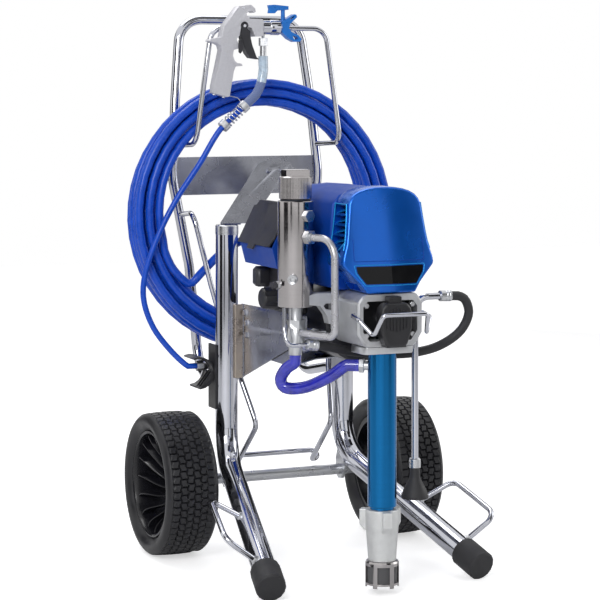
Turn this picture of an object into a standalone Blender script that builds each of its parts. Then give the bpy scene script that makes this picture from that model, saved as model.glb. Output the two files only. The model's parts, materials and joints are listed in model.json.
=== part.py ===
"""Airless paint sprayer on a two-wheeled cart, as separate named pieces.

Metres, +Z up, +X to the right of someone facing the pump, front towards -Y.
Heights are from the floor. Inside the script, depths (y) are from the wheel
axle; the datum empty moves the whole cart so that y = 0 is mid-depth.
"""
import math

import bmesh
import bpy
from mathutils import Matrix, Vector

# ---------------------------------------------------------------- driving sizes
GAP = 0.0003                # clearance between pieces that touch

WHEEL_R = 0.130             # 10 in turf wheel
TYRE_WIDTH = 0.100
WHEEL_X = 0.227             # mid-plane of each wheel
RIM_R = 0.094               # tyre seat on the rim
AXLE_R = 0.010              # axle between the legs
STUB_R = 0.008              # axle inside the wheels
SPOKES = 12

LEG_R = 0.021               # 1 1/4 in pipe, 42 mm across
LEG_X = 0.1175              # upright spacing, each side
LEG_Y = -0.005
UPRIGHT_TOP = 0.591
UPRIGHT_CAP = 0.012         # plug standing on each upright
GABLE_LEAN = 64             # degrees from level of the plate between the uprights
LEG_BEND_Z = 0.170
LEG_BEND_R = 0.085
FOOT = (0.1996, -0.4172)    # middle of the foot cap's end face
FOOT_R = 0.0263
FOOT_CAP_LENGTH = 0.056
FOOT_FLAT = 0.0011          # moulded flat under each foot cap

HANDLE_R = 0.0095           # 3/4 in handle tube
ROD_R = 0.005               # 10 mm rods
HANDLE_TOP = 0.9905
HANDLE_Y = 0.2237
HANGER_Y = 0.073            # front bar of the hose hanger
HANGER_Z = 0.9718
HANGER_LOW_Z = 0.751

BAND_LOW = 0.648            # sheet band between the handle tubes
BAND_HIGH = 0.722
SHEET = 0.0025

PUMP_Y = -0.429             # vertical axis of the pump
SLEEVE_R = 0.0247
SLEEVE_TOP = 0.4095
SLEEVE_LOW = 0.1475
CLAMP_T = 0.0125
CLAMP_HALF_WIDTH = 0.0487
INTAKE_LOW = 0.0560
STRAINER_R = 0.029
STRAINER_LOW = 0.0115
ROD_DIAMETER = 0.016        # piston rod

DRIVE_HALF_WIDTH = 0.0605   # cast drive housing
DRIVE_FRONT = -0.462
DRIVE_BACK = -0.345
DRIVE_TOP = 0.512
COVER_FRONT = -0.455
COVER_BACK = -0.388
MOTOR_BACK = -0.195
MOTOR_R = 0.0655            # round motor behind the drive housing
MOTOR_Z = 0.4473

FILTER_XY = (-0.1245, -0.345)
FILTER_R = 0.0308
FILTER_CAP_R = 0.0283
FILTER_LOW = 0.484
FILTER_HIGH = 0.668
FILTER_TOP = 0.708

PLATE_X = 0.0935            # outer face of each side plate
PLATE_T = 0.003
PLATE_BOLTS = ((-0.040, 0.4407), (-0.047, 0.4225), (-0.047, 0.4005))

HOSE_R = 0.00785            # main paint hose
WHIP_R = 0.0055             # thin hose to the gun
COIL_CENTRE = (-0.002, 0.612)
COIL_HALF_WIDTH = 0.2650    # centreline of the outermost strand
COIL_HALF_HEIGHT = 0.2584
COIL_PITCH = 0.0180         # strand to strand
COIL_LOOSENING = 0.25       # how much wider the pitch is at the bottom
COIL_LAYERS = 4
COIL_TURNS = 2.5            # turns in each layer
COIL_START = 192            # degrees: where the innermost front strand leaves the coil
COIL_ALL_TURNS = 9.76       # the last strand leaves at the bottom
COIL_FRONT = 0.0885         # centreline of the front layer
COIL_LAYER_PITCH = 0.0165
COIL_LEAN = 0.045           # depth lost per metre of height
COIL_POINTS = 24            # points in a turn

NUT_R = 0.0147              # retaining nut of the gun
GUN_T = 0.025               # thickness of the gun's grip
GUN_PIVOT = (-0.0629, 0.9750)   # trigger pin of the parked gun
GUN_Y = HANGER_Y - ROD_R - GAP - NUT_R
BARREL_DROP = 0.0026        # barrel axis below the trigger pin

FRONT_REACH = 0.5245        # pail hook's front bar, ahead of the axle
REAR_REACH = 0.2332         # back of the handle tube

# motor cover, half outline seen from the front (x, z)
COVER_HALF = [(0.0, 0.691), (0.034, 0.6885), (0.055, 0.680), (0.067, 0.666), (0.0735, 0.617), (0.0765, 0.598),
              (0.0830, 0.576), (0.0855, 0.561), (0.0810, 0.543), (0.0640, 0.516), (0.030, 0.5135), (0.0, 0.5135)]
CRANK_Z = 0.4665            # middle of the piston rod's eye

# filter and fluid lines
NECK_R = 0.012
NECK_LENGTH = 0.022
HEX_ACROSS = 0.029
HEX_LENGTH = 0.0135
BLOCK_R = 0.016             # outlet block under the filter
BLOCK_LENGTH = 0.031
COLLAR_R = 0.0118
COLLAR_LENGTH = 0.015
BLOCK_TOP = FILTER_LOW - NECK_LENGTH - HEX_LENGTH - 3 * GAP
BLOCK_LOW = BLOCK_TOP - BLOCK_LENGTH
PIPE_R = 0.0064             # white pipe beside the filter
PIPE_ANGLE = -73.5          # direction of the pipe nut on the filter, from +X
PIPE_Z = 0.605
PIPE_REACH = 0.1035         # from the filter's axis out to the vertical run of the pipe
PIPE_LOW = 0.4405
NUT_LENGTH = 0.016
INLET_HOSE_R = 0.0105       # translucent hose from the pump
RETURN_HOSE_R = 0.0080      # black hose round the back of the pump
RETURN_TUBE_R = 0.0060
FERRULE_R = 0.0095
SUPPLY_Z = 0.4325           # height of the paint hose's elbow
SUPPLY_X = -0.0785
ELBOW_LENGTH = 0.030        # from the filter's axis back to the paint hose
PRIME_Z = 0.522             # prime valve on the filter
PRIME_ANGLE = 179
INLET_PORT_ANGLE = 150      # direction of the pump's outlet port, from +X
INLET_PORT_Z = 0.386
PORT_LENGTH = 0.0145
RETURN_ROUTE = [(-0.0925, -0.3665, 0.4180), (-0.0725, -0.3665, 0.4150), (-0.030, -0.3700, 0.4050),
                (0.020, -0.3780, 0.4000), (0.070, -0.3880, 0.3990), (0.120, -0.3980, 0.4090),
                (0.158, -0.4080, 0.4330), (0.1740, -0.4140, 0.4640), (0.1660, -0.4180, 0.4900),
                (0.150, -0.4200, 0.4985), (0.136, -0.4200, 0.4990)]
RETURN_X = DRIVE_HALF_WIDTH + GAP + RETURN_TUBE_R
RETURN_Y = -0.4200
NUT_TOP = 0.2227            # nut above the cone of the return tube
NUT_LOW = 0.2067

# tool box and controls
BOX_BACK = -0.160
BOX_FRONT = -0.3085
BOX_INNER = -0.0803
BOX_LOW = 0.546
LID_TOP = (-0.1195, 0.6565)     # lid's hinge line
LID_LOW = (-0.1560, 0.5840)
LID_T = 0.003
CONTROL_OUT = -0.1125

# hose cradle and the joint in it
CRADLE_CENTRE = (-0.1700, 0.3280)
CRADLE_R = 0.0300
CRADLE_FRONT = -0.002
CRADLE_BACK = 0.054
JOINT_Z = 0.3375
JOINT_Y = 0.0330

# outlines of the gun's pieces (x, z), in millimetres off the trigger pin
GUN_OUTLINE = [(-12.0, 36.5), (12.9, 40.0), (21.4, 33.1), (22.6, 27.2), (19.5, 24.7), (15.8, 28.0), (9.3, 27.2),
               (3.7, 23.8), (4.6, 19.6), (11.2, 13.5), (36.1, 12.8), (38.8, 8.6), (38.8, -19.6), (21.4, -20.4),
               (17.0, -10.3), (14.5, -4.0)]
GUN_BACK_OUTLINE = [(-10.5, -18.6), (-16.6, -25.5), (-13.9, -32.4), (-10.2, -37.3), (-13.1, -43.4), (-22.2, -45.9),
                    (-24.0, -56.1), (-20.3, -66.2), (-15.8, -70.4), (-5.6, -72.1), (-4.6, -76.1), (-18.4, -77.3),
                    (-22.2, -86.6), (-30.5, -133.4), (-35.2, -135.1), (-62.0, -127.5), (-61.2, -113.8),
                    (-46.2, -45.9), (-49.1, -37.3), (-57.4, -33.1), (-71.3, -29.7), (-68.4, -25.5), (-46.2, -22.1),
                    (-41.7, -1.7), (-25.9, 18.6)]
TRIGGER_OUTLINE = [(12.9, -10.3), (12.9, -18.6), (16.6, -35.6), (25.9, -59.4), (31.5, -63.7), (12.9, -61.1),
                   (5.6, -52.7), (-1.9, -32.4), (-5.6, -18.6)]
LOCK_OUTLINE = [(-13.5, -27.5), (-6.0, -27.5), (-3.5, -36.0), (-6.5, -49.0), (-10.0, -53.0), (-13.5, -50.0)]
FITTING_X = 0.0425          # hose fitting, from the trigger pin
TIP_X = 0.0835              # spray tip's axis, from the trigger pin

# collars and spring guard on the thin hose
COLLAR_OUT = 0.0112
COLLAR_DEPTH = 0.0125
SPRING_LENGTH = 0.040
SPRING_TURNS = 5
SPRING_POINTS = 8
SPRING_R = 0.0100
SPRING_WIRE = 0.0011


# ---------------------------------------------------------------- small helpers
def clear_scene():
    for item in list(bpy.data.objects):
        bpy.data.objects.remove(item, do_unlink=True)


def new_collection(name):
    group = bpy.data.collections.new(name)
    bpy.context.scene.collection.children.link(group)
    return group


def finish(name, colour, roughness, metallic, alpha=1.0):
    """A plain Principled material."""
    made = bpy.data.materials.new(name)
    made.use_nodes = True
    shader = made.node_tree.nodes["Principled BSDF"]
    shader.inputs["Base Color"].default_value = (*colour, 1.0)
    shader.inputs["Roughness"].default_value = roughness
    shader.inputs["Metallic"].default_value = metallic
    shader.inputs["Alpha"].default_value = alpha
    made.diffuse_color = (*colour, alpha)
    return made


def link(item, group, material=None):
    group.objects.link(item)
    item.parent = DATUM
    if material is not None:
        item.data.materials.clear()
        item.data.materials.append(material)
    return item


def smooth_shade(mesh, angle=35):
    mesh.shade_smooth()
    mesh.set_sharp_from_angle(angle=math.radians(angle))


def as_cutter(item):
    """Hide a helper shape and keep it out of the model."""
    for group in list(item.users_collection):
        group.objects.unlink(item)
    CUTTERS.objects.link(item)
    item.hide_render = True
    item.display_type = 'WIRE'
    return item


def combine(target, other, operation):
    """Boolean of two objects; the other one becomes a hidden helper."""
    step = target.modifiers.new(operation.lower(), 'BOOLEAN')
    step.operation = operation
    step.solver = 'EXACT'
    step.object = as_cutter(other)
    return target


def cut(target, other):
    return combine(target, other, 'DIFFERENCE')


def join(target, other):
    return combine(target, other, 'UNION')


def bevel(item, width, segments=2, angle=40):
    step = item.modifiers.new("rounded_edges", 'BEVEL')
    step.width = width
    step.segments = segments
    step.limit_method = 'ANGLE'
    step.angle_limit = math.radians(angle)
    return item


def from_bmesh(name, shape, material, location=(0, 0, 0), angle=35):
    mesh = bpy.data.meshes.new(name)
    shape.to_mesh(mesh)
    shape.free()
    smooth_shade(mesh, angle)
    item = bpy.data.objects.new(name, mesh)
    item.location = location
    return link(item, PARTS, material)


def box(name, low, high, material):
    """A box between two corners, with its origin in its middle."""
    low, high = Vector(low), Vector(high)
    shape = bmesh.new()
    bmesh.ops.create_cube(shape, size=1.0)
    bmesh.ops.scale(shape, vec=high - low, verts=shape.verts)
    return from_bmesh(name, shape, material, (low + high) / 2)


def rotation_to(direction):
    """Rotation that turns +Z to the direction."""
    return Vector(direction).normalized().to_track_quat('Z', 'Y').to_matrix().to_4x4()


def rod(name, start, end, radius, material, sides=16, end_radius=None):
    """A straight cylinder or cone between two points."""
    start, end = Vector(start), Vector(end)
    shape = bmesh.new()
    bmesh.ops.create_cone(shape, cap_ends=True, segments=sides, radius1=radius,
                          radius2=radius if end_radius is None else end_radius,
                          depth=(end - start).length)
    turn = Matrix.Translation((start + end) / 2) @ rotation_to(end - start)
    bmesh.ops.transform(shape, matrix=turn, verts=shape.verts)
    return from_bmesh(name, shape, material)


def fused(name, pieces):
    """Pieces that are welded, pressed or screwed fast, as one solid."""
    first = pieces[0]
    first.name = name
    for other in pieces[1:]:
        join(first, other)
    return first


def set_origin(item, place):
    """Move an object's origin to a point without moving its shape."""
    shift = item.matrix_basis.inverted() @ Vector(place)
    item.data.transform(Matrix.Translation(-shift))
    item.matrix_basis = item.matrix_basis @ Matrix.Translation(shift)


def hex_bolt(at, direction, across, height, material):
    """A hex head standing on a surface at the point."""
    top = Vector(at) + Vector(direction).normalized() * height
    return rod("bolt", at, top, across / 2 / math.cos(math.pi / 6), material, sides=6)


def round_corners(points, radii, steps=5):
    """A bent tube's centreline: straight runs joined by arcs.

    radii is one radius for all corners, or one for each inner corner.
    """
    points = [Vector(p) for p in points]
    count = len(points) - 2
    if not hasattr(radii, "__len__"):
        radii = [radii] * count
    path = [points[0]]
    for i, radius in enumerate(radii, start=1):
        before = (points[i - 1] - points[i]).normalized()
        after = (points[i + 1] - points[i]).normalized()
        half = before.angle(after) / 2
        setback = radius / math.tan(half)
        middle = points[i] + (before + after).normalized() * radius / math.sin(half)
        first = points[i] + before * setback - middle
        last = points[i] + after * setback - middle
        sweep = math.pi - 2 * half
        for k in range(steps + 1):
            share = k / steps
            if sweep > 1e-4:
                arm = first * math.sin((1 - share) * sweep) + last * math.sin(share * sweep)
                arm /= math.sin(sweep)
            else:
                arm = first.lerp(last, share)
            path.append(middle + arm)
    path.append(points[-1])
    return path


def smooth_route(points, spacing):
    """Points along a smooth curve through a route, straight in its first and last stretches."""
    points = [Vector(p) for p in points]
    dense = []
    for a, b, c, d in zip(points, points[1:], points[2:], points[3:]):
        for k in range(20):
            t = k / 20
            dense.append(0.5 * (2 * b + (c - a) * t + (2 * a - 5 * b + 4 * c - d) * t ** 2
                                + (3 * b - a - 3 * c + d) * t ** 3))
    dense.append(points[-2])
    return [points[0], *even_points(dense, spacing), points[-1]]


def even_points(dense, spacing):
    """The same line, with points at even distances."""
    total = sum((q - p).length for p, q in zip(dense, dense[1:]))
    count = max(2, round(total / spacing))
    step = total / count
    route = [dense[0]]
    walked = 0.0
    for p, q in zip(dense, dense[1:]):
        length = (q - p).length
        while walked + length >= step * len(route) and len(route) < count:
            route.append(p.lerp(q, (step * len(route) - walked) / length))
        walked += length
    route.append(dense[-1])
    return route


def tube_curve(name, path, radius, detail, closed=False):
    curve = bpy.data.curves.new(name, 'CURVE')
    curve.dimensions = '3D'
    curve.bevel_depth = radius
    curve.bevel_resolution = detail
    curve.use_fill_caps = True
    line = curve.splines.new('POLY')
    line.points.add(len(path) - 1)
    for point, place in zip(line.points, path):
        point.co = (*place, 1.0)
    line.use_cyclic_u = closed
    line.use_smooth = True
    return bpy.data.objects.new(name, curve)


def tube(name, path, radius, material, detail=2, closed=False):
    """A wire, rod or tube along a path, as a curve object."""
    return link(tube_curve(name, path, radius, detail, closed), PARTS, material)


def solid_tube(name, path, radius, material, detail=2):
    """The same, as a mesh with welded caps, for Boolean work."""
    source = tube_curve(name, path, radius, detail)
    CUTTERS.objects.link(source)
    depsgraph = bpy.context.evaluated_depsgraph_get()
    mesh = bpy.data.meshes.new_from_object(source.evaluated_get(depsgraph))
    bpy.data.objects.remove(source, do_unlink=True)
    shape = bmesh.new()
    shape.from_mesh(mesh)
    bpy.data.meshes.remove(mesh)
    bmesh.ops.remove_doubles(shape, verts=shape.verts, dist=0.00002)
    return from_bmesh(name, shape, material)


def turned(name, profile, material, start=(0, 0, 0), axis=(0, 0, 1), steps=24, ring=False):
    """A shape turned about its axis. The profile lists (radius, height) down its outer side."""
    mesh = bpy.data.meshes.new(name)
    count = len(profile)
    edges = [(i, (i + 1) % count) for i in range(count if ring else count - 1)]
    mesh.from_pydata([(r, 0, z) for r, z in profile], edges, [])
    item = bpy.data.objects.new(name, mesh)
    spin = item.modifiers.new("turned", 'SCREW')
    spin.steps = steps
    spin.render_steps = steps
    spin.use_merge_vertices = True
    spin.merge_threshold = 0.00001
    spin.use_smooth_shade = True
    item.matrix_basis = Matrix.Translation(start) @ rotation_to(axis)
    return link(item, PARTS, material)


def turned_ring(name, profile, material, start=(0, 0, 0), axis=(0, 0, 1), steps=24):
    """A ring: the profile runs down its outer side and back up inside to where it began."""
    return turned(name, profile, material, start, axis, steps, ring=True)


def plate(name, outline, thickness, material, frame, holes=()):
    """A flat sheet. The frame matrix takes its outline plane to the object's place."""
    curve = bpy.data.curves.new(name, 'CURVE')
    curve.dimensions = '2D'
    curve.fill_mode = 'BOTH'
    curve.extrude = thickness / 2
    for ring in (outline, *holes):
        line = curve.splines.new('POLY')
        line.points.add(len(ring) - 1)
        for point, place in zip(line.points, ring):
            point.co = (place[0], place[1], 0.0, 1.0)
        line.use_cyclic_u = True
    item = bpy.data.objects.new(name, curve)
    item.matrix_basis = frame
    return link(item, PARTS, material)


def solid_plate(name, outline, thickness, material, frame, holes=()):
    """The same sheet as a mesh, for Boolean work and bevels."""
    source = plate(name, outline, thickness, material, frame, holes)
    bpy.context.view_layer.update()
    depsgraph = bpy.context.evaluated_depsgraph_get()
    mesh = bpy.data.meshes.new_from_object(source.evaluated_get(depsgraph))
    place = source.matrix_basis.copy()
    bpy.data.objects.remove(source, do_unlink=True)
    shape = bmesh.new()
    shape.from_mesh(mesh)
    bpy.data.meshes.remove(mesh)
    bmesh.ops.remove_doubles(shape, verts=shape.verts, dist=0.00002)
    item = from_bmesh(name, shape, material)
    item.matrix_basis = place
    return item


def circle(centre, radius, count=16):
    return [(centre[0] + radius * math.cos(2 * math.pi * i / count),
             centre[1] + radius * math.sin(2 * math.pi * i / count)) for i in range(count)]


def mirrored(half):
    """Full outline from its right half, listed from top to bottom."""
    right = list(half)
    if right[0][0] == 0 and right[0][1] == right[1][1]:
        right = right[1:]
    if right[-1][0] == 0 and right[-1][1] == right[-2][1]:
        right = right[:-1]
    left = [(-x, y) for x, y in reversed(right) if x > 0]
    return right + left


def facing_front(y):
    """Outline x, y become world x, z, in the plane at depth y."""
    return Matrix.Translation((0, y, 0)) @ Matrix.Rotation(math.pi / 2, 4, 'X')


def facing_side(x):
    """Outline x, y become world y, z, in the plane at x."""
    turn = Matrix(((0, 0, 1, 0), (1, 0, 0, 0), (0, 1, 0, 0), (0, 0, 0, 1)))
    return Matrix.Translation((x, 0, 0)) @ turn


def side_name(base, side):
    return f"{base}_{'right' if side > 0 else 'left'}"


# ---------------------------------------------------------------- cart frame
def leg_corner(side):
    return Vector((side * (LEG_X + 0.001), LEG_Y - 0.001, LEG_BEND_Z))


def foot_point(side):
    """Middle of the foot cap's end face, low enough to leave the moulded flat."""
    run = Vector((FOOT[0] - LEG_X, FOOT[1] - LEG_Y, 0.025 - LEG_BEND_Z)).normalized()
    tilt = -run.z
    height = FOOT_R * math.sqrt(1 - tilt ** 2) - 0.003 * tilt - FOOT_FLAT
    return Vector((side * FOOT[0], FOOT[1], height))


def leg_direction(side):
    return (foot_point(side) - leg_corner(side)).normalized()


def leg_point(side, y):
    """Point of the sloping leg's axis at a given depth."""
    corner = leg_corner(side)
    run = leg_direction(side)
    return corner + run * ((y - corner.y) / run.y)


def leg_path(side):
    end = foot_point(side) - leg_direction(side) * 0.008
    top = Vector((side * LEG_X, LEG_Y, UPRIGHT_TOP))
    return round_corners([top, leg_corner(side), end], LEG_BEND_R, steps=8)


def make_legs(chrome, steel):
    """Each leg with the cap on its top, and the axle plate and rod loop welded to it."""
    rim = LEG_R + 0.0006
    lid = [(0.0, UPRIGHT_CAP), (rim - 0.002, UPRIGHT_CAP), (rim, UPRIGHT_CAP - 0.002), (rim, -0.006),
           (0.0, -0.006)]
    for side in (-1, 1):
        pipe = solid_tube("pipe", leg_path(side), LEG_R, chrome, detail=4)
        cap = turned("cap", lid, steel, start=(side * LEG_X, LEG_Y, UPRIGHT_TOP), steps=14)
        fused(side_name("leg", side), [pipe, cap, axle_plate(side, steel), side_loop(side, chrome)])


def bore_round(radius, steps):
    """Radius of a faceted bore that clears a round piece by the usual gap."""
    return (radius + GAP) / math.cos(math.pi / steps)


def make_foot_cap(side, rubber):
    """Rubber cap on the foot, moulded flat where it stands on the floor."""
    bore = bore_round(LEG_R, 16)
    length = FOOT_CAP_LENGTH
    shell = [(FOOT_R - 0.002, length), (FOOT_R, length - 0.002), (FOOT_R, 0.003), (FOOT_R - 0.003, 0.0),
             (0.0, 0.0)]
    wall = [(0.0, 0.008 - GAP), (bore, 0.008 - GAP), (bore, length)] + shell
    cap = turned(side_name("foot_cap", side), wall, rubber, foot_point(side), -leg_direction(side), steps=16)
    low = foot_point(side) - Vector((0.08, 0.08, 0.08))
    floor = box("floor_cut", low, (low.x + 0.16, low.y + 0.16, 0.0), rubber)
    cut(cap, floor)


def handle_path():
    """Handle tube from one upright's back, over the top and down to the other."""
    half = [(0.0, HANDLE_Y, HANDLE_TOP), (0.1265, HANDLE_Y, HANDLE_TOP), (0.1436, 0.204, 0.833),
            (0.1545, 0.190, 0.683), (0.1205, 0.188, 0.511), (0.100, 0.183, 0.292),
            (LEG_X, 0.055, 0.3192), (LEG_X, LEG_Y + LEG_R - 0.0010, 0.3192)]
    radii = [0.049, 0.15, 0.15, 0.15, 0.055, 0.06]
    left = [(-x, y, z) for x, y, z in reversed(half[1:])]
    return round_corners(left + half[1:], radii[::-1] + radii, steps=2)


def handle_at(height):
    """Centre of the right-hand handle tube at a height above the lower bend."""
    path = [p for p in handle_path() if p.x > 0]
    for p, q in zip(path, path[1:]):
        if p.z >= height > q.z:
            return p.lerp(q, (p.z - height) / (p.z - q.z))
    return path[-1]


def make_handle(chrome):
    tube("handle_loop", handle_path(), HANDLE_R, chrome, detail=2)


def make_back_band(sheet):
    """Sheet band welded between the two handle tubes."""
    heights = (BAND_HIGH, 0.702, 0.683, 0.665, BAND_LOW)
    edge = [(handle_at(z).x - HANDLE_R - GAP, z) for z in heights]
    plate("back_band", mirrored(edge), SHEET, sheet, facing_front(handle_at(0.683).y))


def make_hose_hanger(chrome):
    """Bent rod in front of the handle that carries the coiled hose and the gun."""
    weld = handle_at(HANGER_LOW_Z - 0.006)
    half = [(0.118, HANGER_Y, HANGER_Z), (0.150, HANGER_Y - 0.001, HANGER_LOW_Z),
            (weld.x, weld.y - HANDLE_R - GAP - 0.0006, HANGER_LOW_Z - 0.006)]
    left = [(-x, y, z) for x, y, z in reversed(half)]
    tube("hose_hanger", round_corners(left + half, [0.025, 0.030, 0.030, 0.025], steps=4),
         ROD_R, chrome, detail=2)


def make_lower_rack(chrome):
    """Long bent rod: lower hose hook, brace inside the uprights and cord rack behind the axle."""
    weld = handle_at(0.612)
    inside = LEG_X - LEG_R - ROD_R - GAP
    half = [(weld.x, weld.y - HANDLE_R - GAP - 0.0006, 0.612), (0.160, 0.060, 0.622), (0.129, 0.050, 0.490),
            (0.110, 0.040, 0.415), (inside + 0.0007, LEG_Y + 0.004, 0.325), (0.0755, -0.051, 0.2325),
            (0.078, 0.051, 0.140), (0.134, 0.075, 0.156)]
    radii = [0.028, 0.10, 0.05, 0.06, 0.020, 0.015, 0.012]
    left = [(-x, y, z) for x, y, z in reversed(half)]
    tube("lower_rack", round_corners(left[::-1] + half[::-1], radii + radii[::-1], steps=2),
         ROD_R, chrome, detail=1)


def side_loop(side, chrome):
    """Rod loop outside a leg, for lifting the cart."""
    top = Vector((side * 0.238, -0.2366, 0.1394))
    front = Vector((side * 0.2586, -0.3595, 0.098))
    route = [leg_point(side, -0.215), top, front, leg_point(side, -0.352)]
    return solid_tube("loop", round_corners(route, 0.022, steps=3), ROD_R, chrome, detail=1)


def make_axle(steel):
    """Axle with a pressed cap outside each wheel."""
    end = WHEEL_X + TYRE_WIDTH / 2 - 0.010 + GAP
    half = [(0.0, end + 0.009), (0.009, end + 0.008), (0.015, end + 0.004), (0.016, end), (STUB_R, end),
            (STUB_R, WHEEL_X - 0.047), (AXLE_R, WHEEL_X - 0.047)]
    profile = half + [(r, -x) for r, x in half[::-1]]
    turned("axle", profile, steel, start=(0, 0, WHEEL_R), axis=(1, 0, 0), steps=12)


def axle_plate(side, steel):
    """Plate that hangs the axle under the bend of a leg."""
    outline = [(-0.034, 0.150), (-0.024, 0.178), (0.004, 0.178), (0.016, 0.150), (0.016, 0.122),
               (0.006, 0.112), (-0.010, 0.114)]
    return solid_plate("axle_plate", outline, 0.006, steel, facing_side(side * LEG_X),
                       [circle((0, WHEEL_R), AXLE_R + GAP, 16)])


def gable_frame():
    """Plane of the gable plate: standing on the upright caps and leaning back."""
    base = UPRIGHT_TOP + UPRIGHT_CAP + GAP + SHEET / 2
    return (Matrix.Translation((0, LEG_Y, base)) @ Matrix.Rotation(math.radians(GABLE_LEAN), 4, 'X'))


def make_gable_plate(sheet, steel):
    """A-shaped sheet between the upright tops, with its two bolts."""
    half = LEG_X + 0.012
    outer = [(0.0, 0.1300), (0.014, 0.1295), (0.034, 0.1200), (half, 0.003), (half, 0.0), (0.0, 0.0)]
    window = [(-0.010, 0.068), (0.010, 0.068), (0.056, 0.016), (-0.056, 0.016)]
    plane = gable_frame()
    gable = solid_plate("gable_plate", mirrored(outer), SHEET, sheet, plane, [window])
    base = UPRIGHT_TOP + UPRIGHT_CAP + GAP
    for side in (-1, 1):
        x = sorted((side * (half - 0.034), side * (half - 0.0008)))
        tab = box("tab", (x[0], LEG_Y - 0.016, base), (x[1], LEG_Y + 0.004, base + SHEET), sheet)
        spot = plane @ Vector((side * 0.0135, 0.106, 0.0))
        bolt = hex_bolt(spot, plane.to_3x3() @ Vector((0, 0, 1)), 0.010, 0.005 + SHEET / 2, steel)
        fused("gable_plate", [gable, tab, bolt])


def side_plate_outline():
    back = LEG_Y - 0.012
    return [(back, 0.318), (back, 0.456), (-0.270, 0.463), (-0.318, 0.463), (-0.318, 0.428), (-0.245, 0.398)]


def make_side_plates(sheet, steel):
    """Galvanised plates that carry the motor between the uprights, each with its three bolts."""
    for side in (-1, 1):
        plane = facing_side(side * (PLATE_X - PLATE_T / 2))
        web = solid_plate("web", side_plate_outline(), PLATE_T, sheet, plane)
        flange_x = sorted((side * (PLATE_X - PLATE_T + 0.0008), side * (PLATE_X + 0.0165)))
        front = LEG_Y - LEG_R + 0.0010
        flange = box("flange", (flange_x[0], front - PLATE_T, 0.320), (flange_x[1], front, 0.454), sheet)
        bolts = [hex_bolt((side * (PLATE_X - 0.001), y, z), (side, 0, 0), 0.010, 0.006, steel)
                 for y, z in PLATE_BOLTS]
        fused(side_name("side_plate", side), [web, flange, *bolts])


# ---------------------------------------------------------------- wheels
def make_wheels(tyre_rubber, rim_plastic):
    for side in (-1, 1):
        outward = (side, 0, 0)
        start = (side * WHEEL_X, 0, WHEEL_R)
        half = TYRE_WIDTH / 2
        seat = RIM_R + GAP
        outer = [(seat + 0.004, half - 0.013), (0.113, half), (0.1245, half - 0.005), (WHEEL_R, half - 0.020)]
        tyre = outer + [(r, -x) for r, x in outer[::-1]] + [(seat, 0.015 - half), (seat, half - 0.015)]
        turned_ring(side_name("tyre", side), tyre, tyre_rubber, start, outward, steps=28)
        make_rim(side, start, outward, rim_plastic)


def make_rim(side, start, outward, plastic):
    """Moulded rim: barrel, hub and swept spokes, as one solid."""
    half = TYRE_WIDTH / 2
    barrel = [(RIM_R, half - 0.012), (RIM_R, 0.012 - half), (0.088, 0.012 - half), (0.086, half - 0.012)]
    rim = turned_ring(side_name("rim", side), barrel, plastic, start, outward, steps=28)
    hub = [(0.021, half - 0.010), (0.024, half - 0.030), (0.019, 0.004 - half), (STUB_R + GAP, 0.004 - half),
           (STUB_R + GAP, half - 0.010)]
    join(rim, turned_ring("hub", hub, plastic, start, outward, steps=14))
    join(rim, spoke_set(side, start, plastic))


def spoke_set(side, start, plastic):
    """All spokes of a wheel, each swept like an S between hub and barrel."""
    shape = bmesh.new()
    radii = (0.0195, 0.042, 0.066, 0.0885)
    sweep = (0.0, 0.14, 0.46, 0.56)
    outer = side * (TYRE_WIDTH / 2 - 0.015)
    inner = side * (TYRE_WIDTH / 2 - 0.034)
    for k in range(SPOKES):
        base = 2 * math.pi * k / SPOKES + 0.07
        rings = []
        for radius, swing in zip(radii, sweep):
            angle = base + side * swing
            along = Vector((0, math.cos(angle), math.sin(angle)))
            across = Vector((0, -math.sin(angle), math.cos(angle))) * 0.0022
            rings.append([shape.verts.new(along * radius + across * s + Vector((x, 0, 0)))
                          for s, x in ((-1, outer), (1, outer), (1, inner), (-1, inner))])
        for low, high in zip(rings, rings[1:]):
            for i in range(4):
                shape.faces.new((low[i], low[(i + 1) % 4], high[(i + 1) % 4], high[i]))
        shape.faces.new(rings[0][::-1])
        shape.faces.new(rings[-1])
    bmesh.ops.recalc_face_normals(shape, faces=shape.faces)
    return from_bmesh("spokes", shape, plastic, start)


# ---------------------------------------------------------------- motor and drive
def crease(item, lean, rise):
    """Lean the front of a moulding back towards its top and raise its centre line."""
    shape = bmesh.new()
    shape.from_mesh(item.data)
    shape.verts.ensure_lookup_table()
    everything = shape.verts[:] + shape.edges[:] + shape.faces[:]
    bmesh.ops.bisect_plane(shape, geom=everything, plane_co=(0, 0, 0), plane_no=(1, 0, 0))
    for vert in shape.verts:
        if vert.co.z > 0:
            vert.co.z += rise * (1 - abs(vert.co.x) / 0.10) - lean * (vert.co.y - 0.56)
    shape.to_mesh(item.data)
    shape.free()
    return item


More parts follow.
